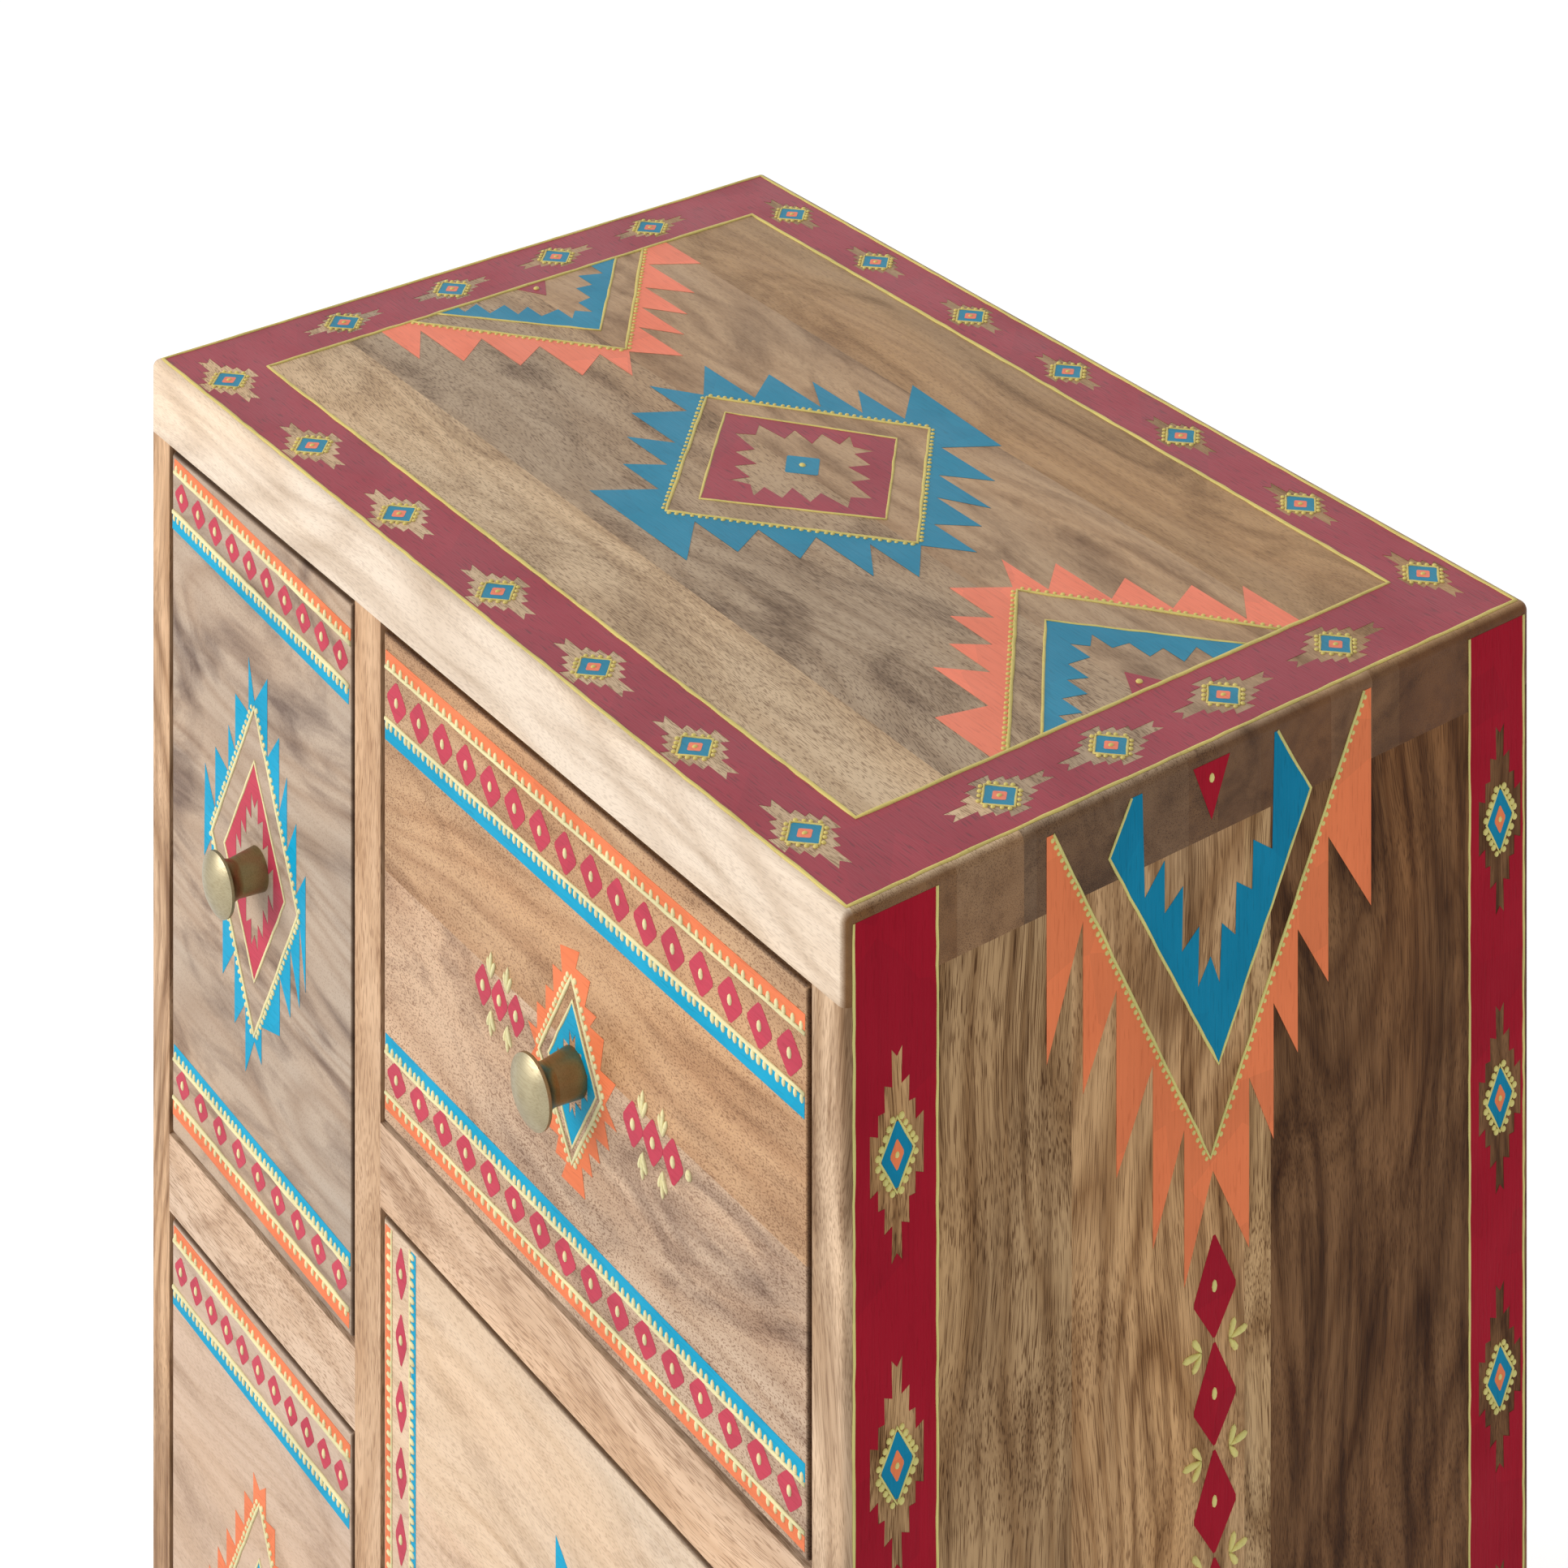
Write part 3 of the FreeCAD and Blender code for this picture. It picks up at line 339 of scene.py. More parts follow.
# Drawer fronts, door and drawer boxes
# Each front is one wide board or a few glued ones, with the grain running level and its edges eased by
# hand. The boxes behind are raw planed wood with plywood bottoms, and two battens hold the door flat.
PALE_TAN = (0.68, 0.52, 0.39)
SMOKY = (0.60, 0.435, 0.305)
RUSSET = (0.565, 0.36, 0.205)
SAND = (0.72, 0.56, 0.41)
LINEN = (0.61, 0.457, 0.346)
ASH = (0.465, 0.37, 0.287)
BOX_WOOD = (0.68, 0.51, 0.33)
FRONT_FIGURE = Figure(
    stain=(0.40, 0.36, 0.37), stain_from=0.46, glow=(1.14, 1.01, 0.88), ring=(0.84, 0.79, 0.75),
    streak=(0.86, 0.82, 0.79), pore=(0.55, 0.47, 0.42), pore_size=(0.9, 0.40), sheen=0.12)
DOOR_FIGURE = Figure(
    stain=(0.58, 0.52, 0.48), stain_from=0.50, glow=(1.10, 1.02, 0.93), ring=(0.92, 0.90, 0.87),
    streak=(0.90, 0.87, 0.84), pore=(0.55, 0.47, 0.42), pore_size=(2.0, 0.36), sheen=0.12)


def front_boards(node, *boards):
    """Boards of a front from the bottom up: (share of its height to start at, colour, stain, pores)."""
    low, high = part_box(node)
    return [Board(low.z + share * (high.z - low.z), *looks) for share, *looks in boards]


FRONTS = {
    "left_upper_drawer_front": (FRONT_FIGURE, (0, ASH, 1.0, 0.3)),
    "left_lower_drawer_front": (DOOR_FIGURE, (0, LINEN, 0.6, 0.3)),
    "right_drawer_front": (FRONT_FIGURE, (0, SMOKY, 0.8, 1.0), (0.51, RUSSET, 0.5, 0.9)),
    "door_panel": (DOOR_FIGURE, (0, SAND, 0.6, 0.4), (0.38, PALE_TAN, 0.6, 0.4), (0.76, SAND, 0.6, 0.4)),
}
# Each front gets painted shade along its edges, where the gaps round it fall dark.
for node, (figure, *boards) in FRONTS.items():
    wood = mango_wood(node + "_wood", "X", "Z", front_boards(node, *boards), figure, rim=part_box(node))
    dress(wood, node)
box_board = [Board(0, BOX_WOOD, 0.5, 0.7)]
box_side = mango_wood("box_side_wood", "Y", "Z", box_board, RAW_FIGURE)
box_back = mango_wood("box_back_wood", "X", "Z", box_board, RAW_FIGURE)
dress(box_back, "door_battens")
for drawer in ("left_upper_drawer", "left_lower_drawer", "right_drawer"):
    dress(box_side, drawer + "_left_side", drawer + "_right_side")
    dress(box_back, drawer + "_back")
    dress(plywood, drawer + "_bottom")

# Knobs
# Turned solid brass, each held by a bolt from behind. The domed face is rubbed to a pale satin by hands,
# and the waisted stem has gone brown.
BRASS = (0.37, 0.317, 0.20)
STEM_BROWN = (0.72, 0.66, 0.52)
KNOB_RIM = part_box("right_drawer_knob")[0].y + 4.8 * MM
DARK_STEM = (KNOB_RIM - 0.4 * MM, KNOB_RIM, STEM_BROWN)
knob_brass = metal("knob_brass", BRASS, dark=(0.86, 0.84, 0.80), roughness=0.34,
                   brushed=(0.84, 0.82, 0.78), along="X", stem=DARK_STEM)
dress(knob_brass, "left_upper_drawer_knob", "left_lower_drawer_knob", "right_drawer_knob", "door_knob")

# Hinges
# A pair of small brass butt hinges. One leaf is screwed to the side panel and one to the door's right
# edge, with the knuckles in front of the door and a pin through both. The screw of the catch's strike
# plate is the same brass.
hinge_brass = metal("hinge_brass", (0.50, 0.38, 0.17), dark=(0.55, 0.48, 0.40), roughness=0.34,
                    brushed=(0.80, 0.78, 0.74), along="Z")
dress(hinge_brass, "hinge_case_leaves", "hinge_door_leaves", "hinge_pins", "hinge_case_screws",
      "hinge_door_screws", "strike_screw")

# Painted top
# Hand painted in thin acrylic over the lacquer: a crimson border with small bare serrated patches, a
# blue toothed diamond in the middle and a half diamond at each end. Lines and beads are squeezed from
# a cone and stand proud. Paint is measured in millimetres on its face.
Face = namedtuple("Face", "matrix mirror")
FILM = {"crimson": 0.10, "red": 0.11, "blue": 0.12, "orange": 0.11, "heart": 0.20}
SLOTS = {"crimson": "crimson_paint", "red": "crimson_paint", "blue": "blue_paint",
         "orange": "orange_paint", "heart": "orange_paint", "lines": "yellow_paint",
         "beads": "yellow_paint"}
SUNK = 0.05
PATCHY = (0.90, 0.89, 0.89)
OVERLAP = (0.92, 0.94, 0.95)
BRUSH_MARK = (0.92, 0.92, 0.92)
PAINT_DULLING = 0.14
PAINT_PORE_DEPTH = 0.0003
CORNER_GAP = 2.0
HAND_STEP = 6.0
HAND_DRIFT = 0.18
LINE_WIDTHS = (0.85, 1.15)
LINE_LIFT = 0.08
LINE_FLATNESS = 0.6
BEAD_SHIFT = 0.12
BEAD_SIZES = (0.88, 1.12)
BEAD_REACH = 0.75
BEAD_SEAT = -0.2
BEAD_LIFT = 0.08
BEAD_RISE = 0.55
BEAD_LEAST_RISE = 0.1
LEAF_ROOT = 0.25
MOTIF_LINE = 1.0
MOTIF_PITCH = 2.7
MOTIF_GROUND = 0.94
MOTIF_HEART = (0.42, 0.44)
MOTIF_DOT = (0.9, 1.1)
hand = random.Random(29)


def painted_face(corner, u, v, mirror=1):
    """A flat face with its own millimetre grid: from a corner, u to the right and v up.

    Both are as seen from outside. With a mirror of -1, what is drawn runs to the left instead.
    """
    u, v = Vector(u), Vector(v)
    turn = Matrix((u, v, u.cross(v))).transposed().to_4x4()
    return Face(Matrix.Translation(corner) @ turn @ Matrix.Scale(MM, 4), mirror)


def paint(name, colour, grain, sheen, worn=(0.90, 0.87, 0.86), roughness=0.40):
    """Brushed paint over open grain: overlapping strokes, brush marks along the grain and open pores."""
    material, tree, shader = new_material(name)
    place = add_node(tree, "TexCoord").outputs["Object"]

    def marks(along, cross, detail):
        return noise(tree, stretched(tree, place, grain, along, cross), 1, detail)

    patches = marks(along=28, cross=40, detail=4)
    brush = marks(along=30, cross=900, detail=2)
    pores = marks(along=160, cross=1700, detail=0)
    cells = add_node(tree, "TexVoronoi", {"Vector": place, "Scale": 42}).outputs["Color"]
    strokes = add_node(tree, "SeparateXYZ", {"Vector": cells}).outputs["X"]
    layered = tint_where(tree, (*colour, 1), patches, low=0.40, high=0.75, tint=PATCHY)
    layered = tint_where(tree, layered, strokes, low=0.50, high=0.56, tint=OVERLAP)
    layered = tint_where(tree, layered, brush, low=0.45, high=0.75, tint=BRUSH_MARK)
    layered = tint_where(tree, layered, pores, low=0.66, high=0.74, tint=worn)
    tree.links.new(layered, shader.inputs["Base Color"])
    vary_gloss(tree, shader, patches, roughness, roughness + PAINT_DULLING)
    shader.inputs["Specular IOR Level"].default_value = sheen
    add_relief(tree, shader, pores, strength=0.2, distance=PAINT_PORE_DEPTH, invert=True)
    return material


def palette(red, blue, orange, yellow):
    """The paint of each coat."""
    return {"crimson": red, "red": red, "blue": blue, "orange": orange, "heart": orange, "lines": yellow}


def between(start, end, share):
    """The point part of the way from one point to another."""
    return start[0] + (end[0] - start[0]) * share, start[1] + (end[1] - start[1]) * share


def rectangle(left, near, right, far):
    """Corners of a rectangle."""
    return [(left, near), (right, near), (right, far), (left, far)]


def diamond(centre, half_u, half_v):
    """Corners of a diamond, clockwise from the top."""
    u, v = centre
    return [(u, v + half_v), (u + half_u, v), (u, v - half_v), (u - half_u, v)]


def middle_of(corners):
    """The middle of a four-cornered shape."""
    return between(between(corners[0], corners[2], 0.5), between(corners[1], corners[3], 0.5), 0.5)


def moved(outline, centre):
    """An outline drawn round zero, moved to its centre."""
    return [(centre[0] + u, centre[1] + v) for u, v in outline]


def blunted(corners, blunt, swell=1.0):
    """A four-cornered shape with brush-blunted corners, whose sides may swell outward."""
    middle = middle_of(corners)
    outline = []
    for index, corner in enumerate(corners):
        following = corners[(index + 1) % 4]
        outline.append(between(corner, corners[index - 1], blunt))
        outline.append(between(corner, following, blunt))
        outline.append(between(middle, between(corner, following, 0.5), swell))
    return outline


def teeth(tips, corner, far_corner, clearance, upright):
    """Saw teeth along one side of a diamond: tip, notch, tip. Their sides stand upright or lie level."""
    along, across = (0, 1) if upright else (1, 0)
    outline = []
    for tip in tips:
        share = (tip[along] - corner[along]) / (far_corner[along] - corner[along])
        edge = between(corner, far_corner, share)[across]
        notch = list(tip)
        notch[across] = edge + math.copysign(clearance, tip[across] - edge)
        outline += [tuple(tip), tuple(notch)]
    return outline[:-1]


def toothed_ring(corners, quarters, clearance, upright):
    """Outer outline of a diamond with teeth. Quarters go round it from one plain corner to the other."""
    middle = middle_of(corners)
    outline = []
    for index, (corner, far_corner, tips) in enumerate(quarters):
        run = teeth(tips, corner, far_corner, clearance, upright)
        if index % 2:
            outline += run[::-1]
        else:
            outline.append(between(corner, middle, -CORNER_GAP / math.dist(corner, middle)))
            outline += run
    return outline


def star(centre, first, last, count, core):
    """A serrated patch: in each quarter a row of teeth from the first tip to the last, cut to a core."""
    outline = []
    for side_u, side_v in ((1, 1), (1, -1), (-1, -1), (-1, 1)):
        tips = [between(first, last, index / (count - 1)) for index in range(count)]
        quarter = [(0, core[1])] + teeth(tips, (0, core[1]), (core[0], 0), 0, True)
        quarter = [(side_u * u, side_v * v) for u, v in quarter]
        outline += quarter if side_u == side_v else quarter[:0:-1]
    return moved(outline, centre)


def serrated(centre, quarter, upright):
    """A patch of four mirrored quarters, each from the long axis to the short one: (along, across)."""
    outline = []
    for side_along, side_across in ((1, 1), (-1, 1), (-1, -1), (1, -1)):
        run = [(side_along * along, side_across * across) for along, across in quarter]
        outline += run if side_along == side_across else run[::-1]
    if upright:
        outline = [(across, along) for along, across in outline]
    return moved(dict.fromkeys(outline), centre)


def strokes_of(points, closed):
    """The straight strokes of a drawn line: (start, end)."""
    ends = points[1:] + points[:1] if closed else points[1:]
    return zip(points, ends)


def by_hand(points, closed):
    """The same run of lines with the small wander of a steady hand."""
    run = []
    for start, end in strokes_of(points, closed):
        run.append(start)
        parts = max(1, round(math.dist(start, end) / HAND_STEP))
        for index in range(1, parts):
            u, v = between(start, end, index / parts)
            drift_u = hand.uniform(-HAND_DRIFT, HAND_DRIFT)
            drift_v = hand.uniform(-HAND_DRIFT, HAND_DRIFT)
            run.append((u + drift_u, v + drift_v))
    return run if closed else run + [points[-1]]


def bead_row(coats, start, end, pitch, outward, along, across):
    """A row of beads beside a line, on its left seen from the start."""
    count = max(2, round(math.dist(start, end) / pitch))
    angle = math.atan2(end[1] - start[1], end[0] - start[0])
    for index in range(count):
        u, v = between(start, end, (index + 0.5 + hand.uniform(-BEAD_SHIFT, BEAD_SHIFT)) / count)
        size = hand.uniform(*BEAD_SIZES)
        u -= math.sin(angle) * outward
        v += math.cos(angle) * outward
        coats["beads"].append((u, v, angle, along * size, across * size))


def beaded_line(coats, corners, closed, width, pitch=2.9, bead=0.85):
    """A drawn line with a row of beads on its outer side."""
    coats["lines"].append((corners, closed, width))
    for start, end in strokes_of(corners, closed):
        bead_row(coats, start, end, pitch, width / 2 + bead * BEAD_REACH, bead, bead)


def motif(coats, centre, half, patch, upright, bead):
    """A small beaded diamond with a blue ground, an orange heart and a dot, on a serrated bare patch."""
    half_u, half_v = half
    heart_u, heart_v = MOTIF_HEART
    ground = diamond(centre, half_u * MOTIF_GROUND, half_v * MOTIF_GROUND)
    heart = diamond(centre, half_u * heart_u, half_v * heart_v)
    coats["bare"].append(serrated(centre, patch, upright))
    beaded_line(coats, diamond(centre, *half), True, MOTIF_LINE, MOTIF_PITCH, bead)
    coats["blue"].append(blunted(ground, blunt=0.08))
    coats["heart"].append(blunted(heart, blunt=0.1))
    coats["beads"].append((*centre, 0, *MOTIF_DOT))


def new_object(name, data):
    """A new object in the scene."""
    made = bpy.data.objects.new(name, data)
    bpy.context.collection.objects.link(made)
    return made


def select_only(piece):
    """Make one object the only selected and active one."""
    bpy.ops.object.select_all(action="DESELECT")
    piece.select_set(True)
    bpy.context.view_layer.objects.active = piece


def draw(curve, points, closed, mirror):
    """Draw a run of straight strokes into a curve, and return the points that were drawn."""
    spline = curve.splines.new("POLY")
    spline.points.add(len(points) - 1)
    spline.use_cyclic_u = closed
    for point, (u, v) in zip(spline.points, points):
        point.co = (u * mirror, v, 0, 1)
    return spline.points


def finish_coat(piece, face, lift, flatten, material, coat, body):
    """Turn a curve into a mesh on its face, and give it its paint and body."""
    select_only(piece)
    bpy.ops.object.convert(target="MESH")
    bpy.ops.object.mode_set(mode="EDIT")
    bpy.ops.mesh.select_all(action="SELECT")
    bpy.ops.mesh.remove_doubles(threshold=0.001)
    bpy.ops.mesh.normals_make_consistent(inside=False)
    bpy.ops.object.mode_set(mode="OBJECT")
    laid = face.matrix @ Matrix.Translation((0, 0, lift)) @ Matrix.Diagonal((1, 1, flatten, 1))
    piece.data.transform(laid)
    piece.data.materials.clear()
    piece.data.materials.append(material)
    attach(piece, body)
    SLOTS[coat]


def film(name, face, outlines, material, coat, body):
    """A flat coat of paint with closed outlines. An outline inside another one is left bare."""
    curve = bpy.data.curves.new(name, "CURVE")
    curve.dimensions = "2D"
    curve.fill_mode = "BOTH"
    curve.extrude = (FILM[coat] + SUNK) / 2
    for outline in outlines:
        draw(curve, outline, True, face.mirror)
    piece = new_object(name, curve)
    finish_coat(piece, face, (FILM[coat] - SUNK) / 2, 1, material, coat, body)


def cone_lines(name, face, lines, material, body):
    """Raised lines squeezed from a cone and flattened on the wood."""
    curve = bpy.data.curves.new(name, "CURVE")
    curve.dimensions = "3D"
    curve.twist_mode = "Z_UP"
    curve.bevel_depth = 0.5
    curve.bevel_resolution = 1
    curve.use_fill_caps = True
    for points, closed, width in lines:
        for point in draw(curve, by_hand(points, closed), closed, face.mirror):
            point.radius = width * hand.uniform(*LINE_WIDTHS)
    piece = new_object(name, curve)
    finish_coat(piece, face, LINE_LIFT, LINE_FLATNESS, material, "lines", body)


bpy.ops.mesh.primitive_uv_sphere_add(segments=8, ring_count=6, radius=1)
bead_pattern = bpy.context.object
bpy.ops.object.mode_set(mode="EDIT")
bpy.ops.mesh.select_all(action="SELECT")
bpy.ops.mesh.bisect(plane_co=(0, 0, BEAD_SEAT), plane_no=(0, 0, 1), clear_inner=True, use_fill=True)
bpy.ops.object.mode_set(mode="OBJECT")
bpy.ops.object.shade_smooth()
bpy.ops.object.duplicate()
leaf_pattern = bpy.context.object
for vertex in leaf_pattern.data.vertices:
    vertex.co.y *= LEAF_ROOT + (1 - LEAF_ROOT) * (vertex.co.x + 1) / 2


def cone_beads(name, face, beads, pattern, material, body):
    """Beads or leaves squeezed from a cone: one dome copied to every place and joined."""
    copies = []
    for u, v, angle, along, across in beads:
        copy = new_object(name, pattern.data.copy())
        turn = Matrix.Rotation(angle * face.mirror, 4, "Z")
        size = Matrix.Diagonal((along, across, BEAD_RISE * min(along, across) + BEAD_LEAST_RISE, 1))
        laid = face.matrix @ Matrix.Translation((u * face.mirror, v, BEAD_LIFT)) @ turn @ size
        copy.data.transform(laid)
        copies.append(copy)
    select_only(copies[0])
    for copy in copies:
        copy.select_set(True)
    bpy.ops.object.join()
    piece = bpy.context.object
    piece.name = name
    piece.data.materials.clear()
    piece.data.materials.append(material)
    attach(piece, body)
    SLOTS["beads"]


def lay_coats(prefix, face, coats, paints, body):
    """Paint one face: every flat coat, then the raised lines and beads."""
    for coat in FILM:
        if coats[coat]:
            film(f"{prefix}_{coat}", face, coats[coat], paints[coat], coat, body)
    cone_lines(prefix + "_lines", face, coats["lines"], paints["lines"], body)
    cone_beads(prefix + "_beads", face, coats["beads"], bead_pattern, paints["lines"], body)
    if coats["leaves"]:
        cone_beads(prefix + "_leaves", face, coats["leaves"], leaf_pattern, paints["lines"], body)


CRIMSON = (0.36, 0.020, 0.042)
BLUE = (0.003, 0.24, 0.385)
ORANGE = (0.98, 0.245, 0.135)
YELLOW = (0.72, 0.58, 0.16)
TOP_SHEEN = 0.40
top_palette = palette(
    paint("top_crimson", CRIMSON, "X", TOP_SHEEN, worn=(0.62, 0.68, 0.66), roughness=0.30),
    paint("top_blue", BLUE, "X", TOP_SHEEN),
    paint("top_orange", ORANGE, "X", TOP_SHEEN),
    paint("top_yellow", YELLOW, "X", TOP_SHEEN))
top_face = painted_face((LEFT, FRONT, TOP), (1, 0, 0), (0, 1, 0))
WIDTH = (RIGHT - LEFT) / MM
DEPTH = (BACK - FRONT) / MM
EDGE = 3.6
FIELD_LEFT, FIELD_RIGHT, FIELD_FRONT, FIELD_BACK = 34, 412, 33.7, 269.5
RIM_LINE = 1.5
FIELD_LINE = 1.7
TOP_PATCH = [(17.8, 0), (21, 2.6), (11, 2.6), (12, 5.2), (7.2, 5.6), (8, 7.8), (2.8, 8), (4.4, 11)]
FAR_SIZE = 0.85
FAR_PATCH = [(along * FAR_SIZE, across * FAR_SIZE) for along, across in TOP_PATCH]
TOP_MOTIF = (7.6, 7.4)
TOP_BEAD = 0.85
FRONT_ROW, FAR_ROW, LEFT_ROW, RIGHT_ROW = 16, 283.5, 18.5, 429.5

top = defaultdict(list)
rim = rectangle(EDGE, EDGE, WIDTH - EDGE, DEPTH - EDGE)
field = rectangle(FIELD_LEFT, FIELD_FRONT, FIELD_RIGHT, FIELD_BACK)
for u in (35, 100.5, 164, 231, 291, 350, 409):
    motif(top, (u, FRONT_ROW), TOP_MOTIF, TOP_PATCH, False, TOP_BEAD)
for u in (44, 102.5, 165, 225, 290, 354, 415):
    motif(top, (u, FAR_ROW), TOP_MOTIF, FAR_PATCH, False, TOP_BEAD)
for v in (77, 128, 179, 227):
    motif(top, (LEFT_ROW, v), TOP_MOTIF, FAR_PATCH, True, TOP_BEAD)
for v in (77.5, 124.5, 174, 226):
    motif(top, (RIGHT_ROW, v), TOP_MOTIF, TOP_PATCH, True, TOP_BEAD)
top["crimson"] += [rim, field] + top["bare"]
top["lines"] += [(rim, True, RIM_LINE), (field, True, FIELD_LINE)]

CENTRE = (222.7, 155)
CENTRE_NOTCH = 7.5
CENTRE_HEART = (9.6, 8.2)
CENTRE_DOT = (1.5, 1.2)
INNER_LINE = 1.0
CENTRE_STAR = [(29.5, 0), (35, 5.6), (20.6, 7), (23.5, 14), (11.2, 13), (15, 20.5), (4.6, 21), (7.5, 28),
               (0, 24)]
middle = [(228.7, 211), (292.5, 154), (220, 95), (157.5, 157.5)]
apex, right_corner, foot, left_corner = middle
quarters = [
    (left_corner, apex, [(136, 172), (157, 188), (172, 198), (188, 208), (197.5, 227.5)]),
    (right_corner, apex, [(310, 167), (297, 180), (289, 191), (274.5, 205), (255.5, 224)]),
    (right_corner, foot, [(311, 140), (301, 127.5), (276, 114), (259, 99), (253, 81)]),
    (left_corner, foot, [(137, 145), (151, 127), (165.5, 115), (182, 102), (191, 81)]),
]
top["blue"] += [toothed_ring(middle, quarters, CENTRE_NOTCH, False), middle]
beaded_line(top, middle, True, width=1.3)
inner = [(227.5, 196), (272.5, 155.5), (220, 110), (172, 156)]
top["lines"].append((inner, True, INNER_LINE))
top["crimson"] += [inner, serrated(CENTRE, CENTRE_STAR, False)]
top["blue"].append(blunted(diamond(CENTRE, *CENTRE_HEART), blunt=0.05))
top["beads"].append((*CENTRE, 0, *CENTRE_DOT))

UPPER_NOTCH = 5.5
LOWER_NOTCH = 10.5
TIP_GAP = -0.03
SPIKE = 10.5
SPIKE_ROOT = 1.5
UPPER_SPIKES = [(36.6, 6.8), (25, 13.4), (15.7, 20.5), (9.5, 30)]
LOWER_SPIKES = [(36.6, 3.2), (27.4, 12), (20.3, 18.7), (12.8, 27.4), (5.7, 35)]
RED_DEPTH = 12.5
RED_HALF = 7.3
DOT_DEPTH = 5
RED_DOT = (1.3, 1.3)
BLUE_LINE = 1.1


def half_diamond(coats, side, point, ends, inner_point, inner_ends, upper, lower):
    """Half a toothed diamond at the border: orange teeth, a bare ring, blue with a bare spiky heart."""
    inward = math.copysign(1, point[0] - side)
    far_upper, far_lower = (side, ends[0]), (side, ends[1])
    gap = between(point, (side, point[1]), TIP_GAP)
    upper_run = teeth(upper, point, far_upper, UPPER_NOTCH, False)
    lower_run = teeth(lower, point, far_lower, LOWER_NOTCH, False)
    outline = [(side, upper[-1][1])] + upper_run[::-1] + [gap] + lower_run + [(side, lower[-1][1])]
    coats["orange"].append(outline + [far_lower, point, far_upper])
    drawn = [far_upper, point, far_lower]
    beaded_line(coats, drawn if side < point[0] else drawn[::-1], False, width=1.4)
    blue_upper, blue_lower = (side, inner_ends[0]), (side, inner_ends[1])
    coats["lines"].append(([blue_upper, inner_point, blue_lower], False, BLUE_LINE))

    def inside(depth, rise):
        return side + inward * depth, inner_point[1] + rise

    saw = [inside(UPPER_SPIKES[0][0] - SPIKE / 2, SPIKE_ROOT)]
    for depth, rise in UPPER_SPIKES:
        saw += [inside(depth, rise), inside(max(depth - SPIKE, 0), rise)]
    for depth, rise in LOWER_SPIKES:
        saw = [inside(max(depth - SPIKE, 0), -rise), inside(depth, -rise)] + saw
    coats["blue"].append([blue_upper, inner_point, blue_lower] + saw)
    coats["red"].append([inside(0, RED_HALF), inside(RED_DEPTH, 0), inside(0, -RED_HALF)])
    coats["beads"].append((*inside(DOT_DEPTH, 0), 0, *RED_DOT))


half_diamond(top, FIELD_RIGHT, (338, 162), (218, 95.5), (359, 157), (202.5, 110),
             upper=[(319, 171), (332.5, 184.5), (354.5, 197.5), (372, 213), (383, 227)],
             lower=[(323, 144), (337.5, 132.5), (351, 121), (359, 107.5), (383, 89)])
half_diamond(top, FIELD_LEFT, (106, 155), (212.5, 99), (86, 156), (199, 111),
             upper=[(124, 170), (109, 181), (95, 192.5), (81, 206), (60, 224)],
             lower=[(126, 144.5), (114, 129), (92.5, 114), (76, 98), (64, 85)])
lay_coats("top", top_face, top, top_palette, "case")

# Painted sides
# The same kind of paint on both side panels: a crimson strip down each edge, a toothed half diamond
# hanging from the top, and a chain of crimson lozenges with leaf sprays. The hidden lower half is taken
# to mirror the upper one.
SIDE_FOOT = (CASE_LOW.z - TOP) / MM
SIDE_BLUE = (0.004, 0.265, 0.46)
SIDE_ORANGE = (1.0, 0.265, 0.105)
SIDE_CRIMSON = (0.42, 0.006, 0.024)
SIDE_YELLOW = (0.84, 0.76, 0.27)
SIDE_SHEEN = 0.06
side_palette = palette(
    paint("side_crimson", SIDE_CRIMSON, "Z", SIDE_SHEEN),
    paint("side_blue", SIDE_BLUE, "Z", SIDE_SHEEN),
    paint("side_orange", SIDE_ORANGE, "Z", SIDE_SHEEN),
    paint("side_yellow", SIDE_YELLOW, "Z", SIDE_SHEEN))
SIDE_PATCH = [(29.8, 0), (32.5, 2.1), (21, 1.8), (22.5, 4.9), (14.5, 4.7), (14.5, 7.2), (8, 7.3),
              (9.5, 10.4)]
SIDE_MOTIF = (6.7, 11.6)
SIDE_BEAD = 1.1
SIDE_LINE = 1.1
STRIP_FRONT = (3.6, 35.7)
STRIP_REAR = (269.5, DEPTH - 3.6)
STRIP_TOP = -3.4
STRIP_FOOT = SIDE_FOOT + 4
STRIP_MOTIFS = 6
FRONT_MOTIFS = {"u": 20, "first": -79, "pitch": 94}
REAR_MOTIFS = {"u": 284.5, "first": -70, "pitch": 96}
UPPER_EDGE = -4.2
HANGING_DOT = (1.1, 1.6)
LEFT_NOTCH = 8
RIGHT_NOTCH = 12
SIDE_LEAF = (4.2, 1.75)
CHAIN_TOP = -156.6
CHAIN_LINKS = 9
LINK = 34.75
LINK_WAIST = 0.59
LINK_DOT = (1.1, 2.1)
LINK_LEFT, CHAIN_MIDDLE, LINK_RIGHT = 141.3, 150.6, 160.6


def spray(coats, root, angle, fan, leaf, shorter):
    """Three leaves fanned out from a root, the outer two shorter. A leaf: (half length, half width)."""
    for turn, share in ((-fan, shorter), (0, 1.0), (fan, shorter)):
        reach = leaf[0] * share
        u = root[0] + math.cos(angle + turn) * reach
        v = root[1] + math.sin(angle + turn) * reach
        coats["leaves"].append((u, v, angle + turn, reach, leaf[1]))


